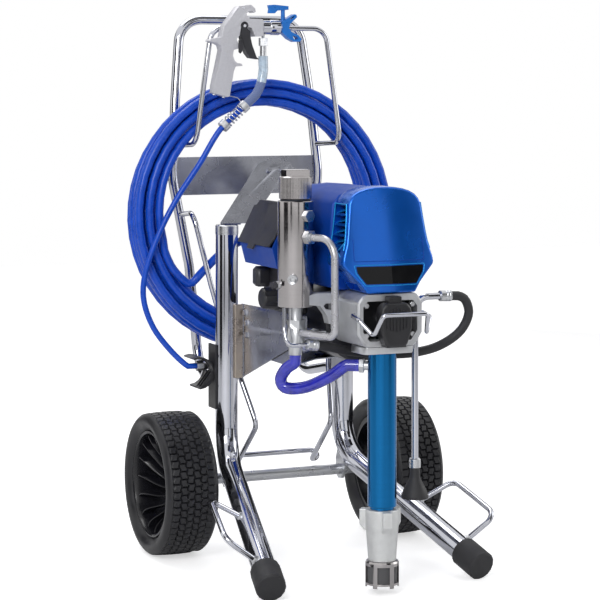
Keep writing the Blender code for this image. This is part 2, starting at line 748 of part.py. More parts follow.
def make_motor(blue, dark_blue):
    depth = COVER_BACK - COVER_FRONT
    middle = (COVER_BACK + COVER_FRONT) / 2
    cover = solid_plate("motor_cover", mirrored(COVER_HALF), depth, blue, facing_front(middle))
    crease(cover, lean=0.16, rise=0.010)
    bevel(cover, 0.004, 1, angle=50)
    for side in (-1, 1):
        for k in range(4):
            z = 0.648 - 0.0165 * k
            x = sorted((side * (0.058 + 0.0025 * k), side * 0.10))
            front = -0.440 - 0.0015 * k
            cut(cover, box("vent", (x[0], front, z - 0.0058), (x[1], COVER_BACK - 0.010, z + 0.0058), blue))
        low = sorted((side * 0.065, side * 0.10))
        cut(cover, box("low_vent", (low[0], -0.446, 0.526), (low[1], COVER_BACK - 0.012, 0.541), blue))
    housing = [(0.0, 0.688), (0.040, 0.685), (0.062, 0.676), (0.074, 0.660), (0.079, 0.600), (0.080, 0.560),
               (0.074, 0.518), (0.058, 0.5135), (0.0, 0.5135)]
    length = MOTOR_BACK - COVER_BACK - GAP
    motor = solid_plate("motor_housing", mirrored(housing), length, dark_blue,
                        facing_front(COVER_BACK + GAP + length / 2))
    bevel(motor, 0.006, 1, angle=50)


def make_drive_housing(cast):
    """Cast drive housing with its crank well open at the front."""
    low = SLEEVE_TOP + CLAMP_T + 2 * GAP
    half = DRIVE_HALF_WIDTH
    outline = [(0.0, DRIVE_TOP), (half - 0.012, DRIVE_TOP), (half, DRIVE_TOP - 0.014), (half, low + 0.022),
               (half - 0.014, low), (0.0, low)]
    depth = DRIVE_BACK - DRIVE_FRONT
    shell = solid_plate("drive_housing", mirrored(outline), depth, cast,
                        facing_front((DRIVE_BACK + DRIVE_FRONT) / 2))
    bevel(shell, 0.003, 1)
    well = [(0.0, DRIVE_TOP - 0.012), (half - 0.018, DRIVE_TOP - 0.012), (half - 0.010, DRIVE_TOP - 0.022),
            (half - 0.010, low + 0.026), (half - 0.022, low + 0.010), (0.0, low + 0.010)]
    cut(shell, solid_plate("crank_well", mirrored(well), 0.075, cast, facing_front(DRIVE_FRONT + 0.030)))
    bore = ROD_DIAMETER / 2 + 0.006
    return cut(shell, rod("rod_bore", (0, PUMP_Y, low - 0.01), (0, PUMP_Y, low + 0.05), bore, cast, sides=20))


def make_rod_cover(black):
    """Ribbed black cover over the piston rod, with its slots."""
    low = SLEEVE_TOP + CLAMP_T + 2 * GAP + 0.0008
    outline = [(0.0, DRIVE_TOP - 0.013), (0.020, DRIVE_TOP - 0.013), (0.029, DRIVE_TOP - 0.022), (0.029, 0.452),
               (0.020, 0.430), (0.016, low), (0.0, low)]
    depth = 0.010
    cover = solid_plate("rod_cover", mirrored(outline), depth, black,
                        facing_front(DRIVE_FRONT - depth / 2 - GAP))
    bevel(cover, 0.002, 1)
    for x in (-0.012, -0.004, 0.004, 0.012):
        slot = box("slot", (x - 0.0022, DRIVE_FRONT - 0.02, 0.462), (x + 0.0022, DRIVE_FRONT + 0.01, 0.488), black)
        cut(cover, slot)


def make_pump(blue_anodised, cast, steel, stainless):
    low = SLEEVE_TOP + GAP
    half = CLAMP_HALF_WIDTH
    clamp = [(half - 0.006, -0.030), (half, -0.020), (half, 0.020), (half - 0.006, 0.030)]
    clamp = clamp + [(-x, y) for x, y in reversed(clamp)]
    nut = solid_plate("clamp_plate", clamp, CLAMP_T, steel,
                      Matrix.Translation((0, PUMP_Y, low + CLAMP_T / 2)), [circle((0, 0), ROD_DIAMETER / 2 + 0.006)])
    bevel(nut, 0.0012, 1)
    bore = ROD_DIAMETER / 2 + 0.004
    throat = bore_round(ROD_DIAMETER / 2, 20)
    sleeve = [(SLEEVE_R - 0.001, SLEEVE_TOP), (SLEEVE_R, SLEEVE_TOP - 0.001), (SLEEVE_R, SLEEVE_LOW + 0.001),
              (SLEEVE_R - 0.001, SLEEVE_LOW), (0.0205, SLEEVE_LOW), (0.0205, SLEEVE_LOW - 0.0045),
              (bore, SLEEVE_LOW - 0.0045), (bore, SLEEVE_TOP - 0.015), (throat, SLEEVE_TOP - 0.014),
              (throat, SLEEVE_TOP)]
    shell = turned_ring("sleeve", sleeve, blue_anodised, start=(0, PUMP_Y, 0), steps=20)
    fused("pump_sleeve", [shell, *pump_port(steel)])
    make_intake(cast)
    make_strainer(steel, stainless)


def make_intake(cast):
    """Cast intake housing with its hammer lugs."""
    top = SLEEVE_LOW - 0.0045 - GAP
    body = [(0.0, top), (0.0285, top), (0.0285, 0.113), (0.0235, INTAKE_LOW), (0.0, INTAKE_LOW)]
    intake = turned("intake_housing", body, cast, start=(0, PUMP_Y, 0), steps=28)
    for angle in (20, 140, 260):
        turn = math.radians(angle)
        lug = solid_plate("lug", [(0.020, 0.112), (0.0345, 0.112), (0.0385, 0.117), (0.0385, top), (0.020, top)],
                          0.017, cast, Matrix.Translation((0, PUMP_Y, 0)) @ Matrix.Rotation(turn, 4, 'Z')
                          @ Matrix.Rotation(math.pi / 2, 4, 'X'))
        join(intake, lug)


def make_strainer(steel, stainless):
    """Strainer: cage with windows and feet, and the screen inside it."""
    top = INTAKE_LOW - GAP
    low = STRAINER_LOW
    cage = [(0.0, top), (STRAINER_R - 0.002, top), (STRAINER_R, top - 0.003), (STRAINER_R, low),
            (STRAINER_R - 0.003, low), (STRAINER_R - 0.003, top - 0.004), (0.0, top - 0.004)]
    body = turned("strainer_cage", cage, stainless, start=(0, PUMP_Y, 0), steps=20)
    for k in range(6):
        turn = Matrix.Translation((0, PUMP_Y, 0)) @ Matrix.Rotation(math.radians(60 * k + 10), 4, 'Z')
        window = box("window", (0.020, -0.0105, low + 0.008), (0.035, 0.0105, top - 0.008), steel)
        window.matrix_basis = turn @ window.matrix_basis
        cut(body, window)
        notch = box("notch", (0.020, -0.0105, low - 0.005), (0.035, 0.0105, low + 0.0045), steel)
        notch.matrix_basis = turn @ notch.matrix_basis
        cut(body, notch)
    radius = STRAINER_R - 0.003 - GAP
    screen = [(0.0, top - 0.004 - GAP), (radius, top - 0.004 - GAP), (radius, low + 0.005), (0.0, low + 0.005)]
    turned("strainer_screen", screen, steel, start=(0, PUMP_Y, 0), steps=20)


def make_piston_rod(steel):
    """Piston rod of the pump, with the eye that the crank pin drives."""
    depth = 0.014
    rod_top = CRANK_Z - 0.008
    radius = ROD_DIAMETER / 2
    eye = solid_plate("piston_rod", circle((0, CRANK_Z), 0.0125, 14), depth, steel, facing_front(PUMP_Y),
                      [circle((0, CRANK_Z), 0.0055, 8)])
    stem = turned("stem", [(0.0, rod_top), (radius, rod_top), (radius, 0.190), (0.0, 0.190)], steel,
                  start=(0, PUMP_Y, 0), steps=12)
    set_origin(eye, (0, PUMP_Y, CRANK_Z))
    join(eye, stem)


def make_pail_hook(steel):
    """Wire hook for the pail's bail, sprung into the drive housing's ears."""
    ear = DRIVE_HALF_WIDTH
    half = [(0.0, -0.5205, 0.4825), (0.041, -0.5205, 0.4825), (0.049, -0.499, 0.446), (ear + 0.006, -0.478, 0.472),
            (ear + 0.006, -0.450, 0.477), (ear + GAP, -0.450, 0.477)]
    left = [(-x, y, z) for x, y, z in reversed(half[1:])]
    radii = [0.008, 0.006, 0.010, 0.004]
    hook = tube("pail_hook", round_corners(left + half[1:], radii[::-1] + radii, steps=2), 0.0037, steel, detail=1)
    set_origin(hook, (0, -0.450, 0.477))


# ---------------------------------------------------------------- filter and fluid lines
def towards(angle):
    """Level direction at an angle from +X."""
    return Vector((math.cos(math.radians(angle)), math.sin(math.radians(angle)), 0))


def on_filter(angle, z, out=GAP):
    """Point just off the filter body's skin."""
    return Vector((*FILTER_XY, z)) + towards(angle) * (FILTER_R + out)


def make_filter(stainless, steel):
    """Filter housing with its plug, gauge port and prime valve, and the cap screwed into its top."""
    start = (*FILTER_XY, 0)
    top, neck = FILTER_HIGH, FILTER_R - 0.005
    body = [(0.0, top), (neck, top), (neck, top - 0.002), (FILTER_R, top - 0.003),
            (FILTER_R, FILTER_LOW + 0.003), (FILTER_R - 0.003, FILTER_LOW), (0.0, FILTER_LOW)]
    shell = turned("shell", body, stainless, start=start, steps=23)
    plug = hex_bolt(on_filter(PIPE_ANGLE, 0.641, -0.004), towards(PIPE_ANGLE), 0.019, 0.013, steel)
    port = rod("port", on_filter(-122, 0.533, -0.004), on_filter(-122, 0.533, 0.005), 0.0085, steel, sides=14)
    valve = rod("valve", on_filter(PRIME_ANGLE, PRIME_Z, -0.004), on_filter(PRIME_ANGLE, PRIME_Z, 0.005), 0.007,
                steel, sides=14)
    fused("filter_body", [shell, plug, port, valve])
    base = FILTER_HIGH + GAP
    cap = [(0.0, FILTER_TOP), (FILTER_CAP_R - 0.002, FILTER_TOP), (FILTER_CAP_R, FILTER_TOP - 0.002),
           (FILTER_CAP_R, base + 0.002), (FILTER_CAP_R - 0.003, base), (0.0, base)]
    lid = turned("filter_cap", cap, stainless, start=start, steps=24)
    x, y = FILTER_XY
    key = box("key", (x - 0.022, y - 0.012, FILTER_TOP - 0.004), (x + 0.022, y + 0.012, FILTER_TOP + 0.0115),
              stainless)
    join(lid, key)


def pump_port(zinc):
    """Neck and nut of the pump's outlet, where the translucent hose ends."""
    axis = Vector((0, PUMP_Y, INLET_PORT_Z))
    out = towards(INLET_PORT_ANGLE)
    skin = SLEEVE_R + GAP
    neck = rod("neck", axis + out * (skin - 0.004), axis + out * (skin + 0.007), 0.008, zinc)
    nut = hex_bolt(axis + out * (skin + 0.006), out, 0.023, PORT_LENGTH - 0.006 - GAP, zinc)
    return [neck, nut]


def make_outlet_block(zinc):
    """Stack of fittings below the filter, with the elbow that the paint hose screws onto."""
    x, y = FILTER_XY
    top = FILTER_LOW - GAP
    low = top - NECK_LENGTH
    block = rod("block", (x, y, BLOCK_TOP), (x, y, BLOCK_LOW), BLOCK_R, zinc, sides=20)
    neck = rod("neck", (x, y, top), (x, y, low - 0.002), NECK_R, zinc)
    hexagon = hex_bolt((x, y, low), (0, 0, -1), HEX_ACROSS, low - BLOCK_TOP + 0.002, zinc)
    collar = rod("collar", (x, y, BLOCK_LOW + 0.002), (x, y, BLOCK_LOW - COLLAR_LENGTH), COLLAR_R, zinc)
    stem = rod("stem", (x, y, SUPPLY_Z), (SUPPLY_X, y, SUPPLY_Z), 0.007, zinc)
    corner = Vector((SUPPLY_X, y, SUPPLY_Z))
    half = Vector((0.008, 0.008, 0.008))
    knee = box("knee", corner - half, corner + half, zinc)
    arm = hex_bolt((SUPPLY_X, y + 0.006, SUPPLY_Z), (0, 1, 0), 0.0155, 0.024, zinc)
    fused("outlet_block", [block, neck, hexagon, collar, stem, knee, arm])


def make_outlet_pipe(white, zinc):
    """Pipe from the nut on the filter's side down to the outlet block."""
    nut = hex_bolt(on_filter(PIPE_ANGLE, PIPE_Z), towards(PIPE_ANGLE), 0.022, NUT_LENGTH, zinc)
    start = on_filter(PIPE_ANGLE, PIPE_Z, NUT_LENGTH - 0.004)
    shoulder = on_filter(PIPE_ANGLE, PIPE_Z, PIPE_REACH - FILTER_R)
    foot = Vector((shoulder.x, shoulder.y, PIPE_LOW))
    block = Vector((*FILTER_XY, PIPE_LOW))
    end = block + (foot - block).normalized() * (BLOCK_R + GAP)
    path = round_corners([start, shoulder, foot, end], [0.034, 0.014], steps=6)
    fused("outlet_pipe", [solid_tube("pipe", path, PIPE_R, white, detail=2), nut])


def add_filter_arm(housing, cast):
    """Arm of the drive housing that carries the filter, with its slotted window."""
    inner = 0.004 - DRIVE_HALF_WIDTH
    outline = [(inner, 0.508), (-0.100, 0.508), (-0.116, 0.503), (-0.116, 0.489), (-0.090, 0.486),
               (-0.078, 0.470), (-0.074, 0.455), (inner, 0.452)]
    window = [(-0.066, 0.478), (-0.066, 0.490), (-0.080, 0.490), (-0.084, 0.486), (-0.080, 0.480)]
    arm = solid_plate("filter_arm", outline, 0.020, cast, facing_front(-0.363), [window])
    x, y = FILTER_XY
    cut(arm, rod("filter_seat", (x, y, 0.44), (x, y, 0.52), FILTER_R + GAP, cast, sides=28))
    join(housing, arm)


def make_prime_handle(dark):
    """Quarter-turn handle of the prime valve, outside the filter."""
    hub = on_filter(PRIME_ANGLE, PRIME_Z, 0.005 + GAP)
    handle = rod("prime_handle", hub, hub + towards(PRIME_ANGLE) * 0.007, 0.0065, dark)
    low = hub + Vector((-0.0065, -0.013, -0.0035))
    lever = box("lever", low, low + Vector((0.0055, 0.026, 0.007)), dark)
    set_origin(handle, hub)
    join(handle, lever)


def make_inlet_hose(clear_blue):
    """Translucent hose from the pump's outlet port to the collar below the filter."""
    x, y = FILTER_XY
    out = towards(INLET_PORT_ANGLE)
    start = Vector((0, PUMP_Y, INLET_PORT_Z)) + out * (SLEEVE_R + PORT_LENGTH + GAP)
    end = Vector((x, y, BLOCK_LOW - GAP - COLLAR_LENGTH))
    route = [start, start + out * 0.021, (-0.074, -0.379, 0.366), (-0.104, -0.345, 0.345), (-0.130, -0.318, 0.341),
             (-0.139, -0.314, 0.356), (-0.134, -0.328, 0.376), end - Vector((0, 0, 0.012)), end]
    tube("inlet_hose", smooth_route(route, 0.016), INLET_HOSE_R, clear_blue, detail=3)


def make_return_line(black, zinc, chrome):
    """Bypass line: thin pipe off the filter, black hose behind the pump, tube down into the pail."""
    route = smooth_route(RETURN_ROUTE, 0.022)
    tube("return_hose", route, RETURN_HOSE_R, black, detail=2)
    first = (route[0] - route[1]).normalized()
    last = (route[-1] - route[-2]).normalized()
    left = route[0] + first * GAP
    right = route[-1] + last * GAP
    make_bypass_pipe(left, first, zinc, chrome)
    ferrule = rod("ferrule", right, right + last * 0.022, FERRULE_R, zinc, sides=14)
    profile = [(0.0, NUT_TOP), (0.0085, NUT_TOP), (0.0100, NUT_TOP - 0.0015), (0.0100, NUT_LOW), (0.0, NUT_LOW)]
    nut = turned("nut", profile, zinc, start=(RETURN_X, RETURN_Y, 0), steps=14)
    corner = Vector((RETURN_X, RETURN_Y, right.z + 0.022 * last.z))
    drop = [right + last * 0.018, corner, Vector((RETURN_X, RETURN_Y, NUT_TOP - 0.004))]
    pipe = solid_tube("pipe", round_corners(drop, 0.026, steps=4), RETURN_TUBE_R, chrome, detail=2)
    fused("return_tube", [pipe, ferrule, nut])
    z = NUT_LOW - GAP
    cone = [(0.0, z), (0.0085, z), (0.0095, z - 0.004), (0.0215, z - 0.042), (0.0235, z - 0.050),
            (0.0225, z - 0.052), (0.0, z - 0.046)]
    turned("return_cone", cone, black, start=(RETURN_X, RETURN_Y, 0), steps=18)


def make_bypass_pipe(hose_end, run, zinc, chrome):
    """Thin pipe from under the filter to the ferrule of the black hose."""
    x, y = FILTER_XY[0] - 0.0243, FILTER_XY[1] - 0.007
    ferrule = rod("ferrule", hose_end, hose_end + run * 0.020, FERRULE_R, zinc, sides=14)
    bend = Vector((x, hose_end.y + 0.002, 0.4195))
    path = [Vector((x, y, FILTER_LOW - GAP)), Vector((x, y, 0.450)), bend, hose_end + run * 0.015]
    pipe = solid_tube("pipe", round_corners(path, [0.012, 0.014], steps=4), 0.0035, chrome, detail=2)
    fused("bypass_pipe", [pipe, ferrule])


# ---------------------------------------------------------------- tool box and controls
def make_tool_box(blue, black):
    """Open box beside the motor with a slanted lid."""
    section = [(BOX_INNER, BOX_LOW), (-0.1430, BOX_LOW), (-0.1525, 0.582), (LID_TOP[0] - 0.0025, 0.6475),
               (BOX_INNER, 0.6475)]
    inner = [(BOX_INNER - 0.003, BOX_LOW + 0.003), (-0.1405, BOX_LOW + 0.003), (-0.1500, 0.5822),
             (-0.1700, 0.5900), (-0.1400, 0.6700), (LID_TOP[0] - 0.004, 0.6445), (BOX_INNER - 0.003, 0.6445)]
    length = BOX_BACK - BOX_FRONT
    middle = (BOX_BACK + BOX_FRONT) / 2
    body = solid_plate("tool_box", section, length, blue, facing_front(middle))
    cut(body, solid_plate("tool_box_hollow", inner, length - 0.006, blue, facing_front(middle)))
    make_lid(black)


def make_lid(black):
    """Lid with cut corners, finger tab and hinge barrel; it turns about its top edge."""
    top = Vector((LID_TOP[0], 0, LID_TOP[1]))
    low = Vector((LID_LOW[0], 0, LID_LOW[1]))
    down = (low - top).normalized()
    length = (low - top).length
    frame = Matrix.Identity(4)
    frame.col[0].xyz = (0, 1, 0)
    frame.col[1].xyz = down
    frame.col[2].xyz = Vector((0, 1, 0)).cross(down)
    frame.col[3].xyz = top
    back, front = BOX_BACK + 0.001, BOX_FRONT - 0.001
    outline = [(back - 0.014, 0.0), (front, 0.0), (front, length - 0.016), (front + 0.010, length),
               (front + 0.070, length), (front + 0.072, length + 0.009), (front + 0.098, length + 0.009),
               (front + 0.100, length), (back, length), (back, 0.010), (back - 0.010, 0.008)]
    lid = solid_plate("tool_box_lid", outline, LID_T, black, frame)
    set_origin(lid, top + Vector((0, (back + front) / 2, 0)))
    ends = [Vector((LID_TOP[0], y, LID_TOP[1])) for y in (front + 0.004, back - 0.018)]
    barrel = rod("barrel", *ends, 0.003, black, sides=10)
    join(lid, barrel)


def make_controls(dark, black):
    """Control housing below the tool box, its switch boot and the pressure knob."""
    low, high = 0.463 + GAP, BOX_LOW - GAP
    case = box("control_housing", (CONTROL_OUT, -0.300, low), (BOX_INNER, -0.170, high), dark)
    bevel(case, 0.004, 1)
    boot = box("switch_boot", (CONTROL_OUT - 0.026, -0.205, 0.505), (CONTROL_OUT + 0.004, -0.178, 0.541), dark)
    bevel(boot, 0.006, 1)
    join(case, boot)
    centre = Vector((CONTROL_OUT - GAP, -0.250, 0.490))
    profile = [(0.0, 0.036), (0.0155, 0.036), (0.0185, 0.033), (0.0195, 0.012), (0.0215, 0.010), (0.0215, 0.0),
               (0.0, 0.0)]
    knob = turned("pressure_knob", profile, black, start=centre, axis=(-1, 0, 0), steps=18)
    for k in range(6):
        angle = math.radians(60 * k + 30)
        spot = centre + Vector((0, math.cos(angle), math.sin(angle))) * 0.0235
        flute = rod("flute", spot + Vector((-0.0115, 0, 0)), spot + Vector((-0.040, 0, 0)), 0.0075, black, sides=8)
        cut(knob, flute)


# ---------------------------------------------------------------- motor support
def make_motor_shelf(sheet):
    """Arched sheet under the motor, with its sides against the side plates."""
    out = PLATE_X - PLATE_T - GAP
    arch = [(0.0, 0.3788), (0.045, 0.3770), (0.075, 0.3705), (out, 0.3660)]
    upper = [(x, z + SHEET) for x, z in arch[:-1]] + [(out - SHEET, 0.3690), (out - SHEET, 0.4250), (out, 0.4250)]
    section = upper + [arch[-1]] + arch[:-1][::-1]
    outline = section + [(-x, z) for x, z in section[::-1] if x > 1e-6]
    shelf = solid_plate("motor_shelf", outline, 0.140, sheet, facing_front(-0.180))
    return shelf


def make_motor_body(dark):
    """Round electric motor behind the drive housing."""
    front, back = DRIVE_BACK + GAP, -0.110
    r = MOTOR_R
    profile = [(0.0, front), (r - 0.004, front), (r, front + 0.004), (r, front + 0.150), (r - 0.003, front + 0.153),
               (r - 0.003, back - 0.020), (r - 0.012, back), (0.0, back)]
    profile = [(x, -y) for x, y in profile]
    turned("motor_body", profile, dark, start=(0, 0, MOTOR_Z), axis=(0, -1, 0), steps=20)


# ---------------------------------------------------------------- hose cradle and hoses
def make_hose_cradle(black):
    """Ribbed hood on the left upright that holds the joint between the two hoses."""
    cx, cz = CRADLE_CENTRE
    arc = [math.radians(a) for a in range(112, -91, -20)]
    outer = [(cx + CRADLE_R * math.cos(a), cz + CRADLE_R * math.sin(a)) for a in arc]
    inner = [(cx + (CRADLE_R - 0.003) * math.cos(a), cz + (CRADLE_R - 0.003) * math.sin(a)) for a in arc[::-1]]
    depth = CRADLE_BACK - CRADLE_FRONT
    middle = (CRADLE_BACK + CRADLE_FRONT) / 2
    hood = solid_plate("hose_cradle", outer + inner, depth, black, facing_front(middle))
    out = -LEG_X - LEG_R - GAP
    flange = box("flange", (out - 0.0035, LEG_Y - 0.006, 0.261), (out, 0.026, 0.380), black)
    join(hood, flange)
    for k in range(3):
        y = CRADLE_FRONT + 0.004 + 0.0115 * k
        rim = [(cx + (CRADLE_R - 0.001) * math.cos(a), cz + (CRADLE_R - 0.001) * math.sin(a)) for a in arc[5:]]
        join(hood, solid_plate("rib", rim, 0.0018, black, facing_front(y)))
    hole = rod("hose_hole", (-0.150, JOINT_Y, JOINT_Z), (-0.120, JOINT_Y, JOINT_Z), 0.0115, black)
    cut(hood, hole)
    cut(hood, rod("fitting_room", (-0.190, JOINT_Y, JOINT_Z), (-0.1432, JOINT_Y, JOINT_Z), 0.0118, black))


def make_hose_joint(zinc):
    """Coupling between the thin hose and the main hose."""
    left, right = -0.1640, -0.1340
    nut = hex_bolt((left, JOINT_Y, JOINT_Z), (1, 0, 0), 0.0170, 0.013, zinc)
    sleeve = rod("sleeve", (left + 0.012, JOINT_Y, JOINT_Z), (right, JOINT_Y, JOINT_Z), 0.0079, zinc)
    join(nut, sleeve).name = "hose_joint"
    return Vector((left - GAP, JOINT_Y, JOINT_Z)), Vector((right + GAP, JOINT_Y, JOINT_Z))


def coil_point(turn):
    """Point on the piled coil after a number of turns from its loose front end."""
    angle = math.radians(COIL_START) - 2 * math.pi * turn
    cycle = turn % (2 * COIL_TURNS)
    outward = min(cycle, 2 * COIL_TURNS - cycle)
    looser = 1 + COIL_LOOSENING * (1 - math.sin(angle)) / 2
    inset = (COIL_TURNS - outward) * COIL_PITCH * looser
    layer = 0.0
    for k in range(1, COIL_LAYERS):
        share = min(max((turn - k * COIL_TURNS + 0.25) / 0.5, 0.0), 1.0)
        layer += share * share * (3 - 2 * share)
    x = COIL_CENTRE[0] + (COIL_HALF_WIDTH - inset) * math.cos(angle)
    z = COIL_CENTRE[1] + (COIL_HALF_HEIGHT - inset) * math.sin(angle)
    y = COIL_FRONT + COIL_LAYER_PITCH * layer + COIL_LEAN * (z - COIL_CENTRE[1])
    return Vector((x, y, z))


def least_gap(path, radius):
    """Smallest clearance of a wound tube to its own neighbouring turns."""
    best = 1.0
    for i, p in enumerate(path):
        for q in path[i + COIL_POINTS // 2:]:
            best = min(best, (p - q).length)
    return best - 2 * radius


def make_coil(blue):
    count = round(COIL_ALL_TURNS * COIL_POINTS)
    path = [coil_point(COIL_ALL_TURNS * i / count) for i in range(count + 1)]
    tube("hose_coil", path, HOSE_R, blue, detail=1)
    print(f"hose coil: least gap {1000 * least_gap(path, HOSE_R):.2f} mm")
    return path


def make_supply_hose(blue, coil):
    """Main hose from the outlet elbow, past the motor and the upright, into the coil."""
    elbow = Vector((SUPPLY_X, FILTER_XY[1] + ELBOW_LENGTH + GAP, SUPPLY_Z))
    start = coil[0]
    back = (coil[0] - coil[1]).normalized()
    route = [start + back * GAP, start + back * 0.018, (-0.1945, 0.084, 0.520), (-0.1735, 0.0835, 0.496),
             (-0.1560, 0.083, 0.487), (-0.1360, 0.076, 0.508), (-0.1120, 0.046, 0.543), (-0.0960, 0.020, 0.562),
             (-0.0760, -0.015, 0.574), (-0.0690, -0.060, 0.552), (-0.0740, -0.100, 0.500),
             (-0.0785, -0.145, 0.456), (-0.0785, -0.210, 0.436),
             elbow + Vector((0, 0.020, 0)), elbow]
    tube("supply_hose", smooth_route(route, 0.022), HOSE_R, blue, detail=1)


def make_tail_hose(blue, coil, joint):
    """Main hose from the coil's last turn to the joint in the cradle."""
    end = coil[-1]
    run = (coil[-1] - coil[-2]).normalized()
    route = [end + run * GAP, end + run * 0.018, (-0.012, 0.1420, 0.3995), (-0.040, 0.1500, 0.378),
             (-0.062, 0.1470, 0.352), (-0.080, 0.1220, 0.340), (-0.100, 0.080, 0.3405),
             (-0.112, 0.052, 0.341), joint + Vector((0.014, 0.0, 0.0)), joint]
    tube("tail_hose", smooth_route(route, 0.018), HOSE_R, blue, detail=2)


# ---------------------------------------------------------------- spray gun
def gun_at(x, z, y=0.0):
    """World point from millimetres measured off the trigger pin."""
    return Vector((GUN_PIVOT[0] + x / 1000, GUN_Y + y / 1000, GUN_PIVOT[1] + z / 1000))


def arc_points(radius, start, end, count):
    """Points round the trigger pin, in millimetres."""
    angles = [math.radians(start + (end - start) * i / (count - 1)) for i in range(count)]
    return [(radius * math.cos(a), radius * math.sin(a)) for a in angles]


def gun_plate(name, outline, thickness, material, offset=0.0, holes=()):
    """A flat piece of the gun, its outline in millimetres off the trigger pin."""
    frame = Matrix.Translation((GUN_PIVOT[0], GUN_Y + offset, GUN_PIVOT[1])) @ Matrix.Rotation(math.pi / 2, 4, 'X')
    rings = [[(x / 1000, z / 1000) for x, z in ring] for ring in holes]
    return solid_plate(name, [(x / 1000, z / 1000) for x, z in outline], thickness, material, frame, rings)


def make_gun(cast, dark, chrome, tip_blue):
    pocket = arc_points(8.2, -20, 200, 9)
    outline = GUN_OUTLINE + pocket + GUN_BACK_OUTLINE
    body = gun_plate("gun_body", outline, GUN_T, cast)
    bevel(body, 0.0025, 1, angle=50)
    head = arc_points(7.6, 200, -35, 10)
    trigger = gun_plate("trigger", head + TRIGGER_OUTLINE, GUN_T - 0.006, dark)
    bevel(trigger, 0.0015, 1, angle=50)
    lock = gun_plate("trigger_lock", LOCK_OUTLINE, 0.003, dark, offset=-(GUN_T / 2 + GAP + 0.0015))
    set_origin(lock, gun_at(-11.0, -38.0))
    axis = -BARREL_DROP * 1000
    face = 38.8 + 0.3
    diffuser = rod("diffuser", gun_at(face, axis), gun_at(54.0, axis), NUT_R - 0.001, chrome, sides=20)
    profile = [(0.0, 0.0247), (0.0115, 0.0247), (NUT_R, 0.021), (NUT_R, 0.004), (0.0125, 0.0), (0.0, 0.0)]
    nut = turned("nut", profile, chrome, start=gun_at(53.3, axis), axis=(1, 0, 0), steps=12)
    fused("gun_nose", [nut, diffuser])
    make_tip(tip_blue)


def make_tip(tip_blue):
    """Tip guard with its two open wings, and the reversible spray tip that drops into it."""
    outline = [(78.3, 10.0), (86.0, 13.0), (95.0, 18.0), (103.0, 23.0), (108.0, 22.5), (109.5, 17.5), (95.0, 4.0),
               (93.0, -4.0), (98.0, -11.0), (112.0, -17.0), (119.0, -24.0), (116.0, -29.5), (104.0, -30.0),
               (92.0, -24.0), (82.0, -15.0), (78.3, -12.0)]
    upper = [(97.0, 12.5), (104.5, 18.5), (103.0, 20.0), (94.5, 14.5)]
    lower = [(100.0, -18.0), (110.0, -20.5), (112.0, -24.5), (104.0, -25.5)]
    guard = gun_plate("tip_guard", outline, 0.018, tip_blue, holes=[upper, lower])
    bottom = gun_at(TIP_X * 1000, -8.0)
    cut(guard, rod("tip_bore", bottom, gun_at(TIP_X * 1000, 30.0), 0.0043, tip_blue))
    top = gun_at(TIP_X * 1000, 34.0)
    tip = rod("spray_tip", bottom + Vector((0, 0, GAP)), top, 0.0040, tip_blue)
    flag = gun_plate("flag", [(53.0, 24.5), (65.5, 24.5), (70.0, 29.5), (93.5, 31.5), (93.5, 38.5), (64.0, 41.0),
                              (52.5, 40.0), (54.5, 32.0)], 0.0095, tip_blue)
    join(tip, flag)
    set_origin(tip, gun_at(TIP_X * 1000, 0))


def make_gun_hose(zinc, clear, chrome, blue, joint):
    """Fitting, clear sleeve, spring guard and thin hose below the gun."""
    x = FITTING_X * 1000
    drop = -BARREL_DROP * 1000 - NUT_R * 1000 + 0.7
    low = -57.0
    fused("gun_inlet", [hex_bolt(gun_at(x, drop - 6.0), (0, 0, -1), 0.0150, 0.015, zinc),
                        rod("neck", gun_at(x, drop), gun_at(x, drop - 7.0), 0.0032, zinc, sides=12),
                        rod("barb", gun_at(x, drop - 20.0), gun_at(x, low), 0.0062, zinc, sides=14)])
    top = gun_at(x, low - 0.3)
    sleeve = [top, gun_at(x, low - 10), gun_at(42.5, -84, -1), gun_at(37.5, -109, -2), gun_at(25.5, -132, -3),
              gun_at(6.5, -149, -3)]
    line = smooth_route(sleeve, 0.013)
    tube("hose_sleeve", line, 0.0092, clear, detail=3)
    run = (line[-1] - line[-2]).normalized()
    start = line[-1] + run * GAP
    make_collars(start, run, zinc)
    make_spring_guard(start + run * (COLLAR_DEPTH + GAP), run, chrome)
    whip = [start, start + run * 0.070, (-0.1500, 0.056, 0.7120), (-0.1900, 0.062, 0.6520),
            (-0.2230, 0.066, 0.5900), (-0.2500, 0.068, 0.5200), (-0.2560, 0.068, 0.4650), (-0.2400, 0.062, 0.4120),
            (-0.2100, 0.050, 0.3680), joint + Vector((-0.016, 0.0, 0.0)), joint]
    tube("whip_hose", smooth_route(whip, 0.0155), WHIP_R, blue, detail=1)


def make_collars(start, run, zinc):
    """Collar at each end of the spring guard, round the thin hose."""
    bore = bore_round(WHIP_R, 16)
    ring = [(COLLAR_OUT, COLLAR_DEPTH), (COLLAR_OUT, 0.0), (bore, 0.0), (bore, COLLAR_DEPTH)]
    turned_ring("hose_collar_top", ring, zinc, start, run, steps=16)
    low = start + run * (COLLAR_DEPTH + SPRING_LENGTH + 2 * GAP)
    turned_ring("hose_collar_low", ring, zinc, low, run, steps=16)


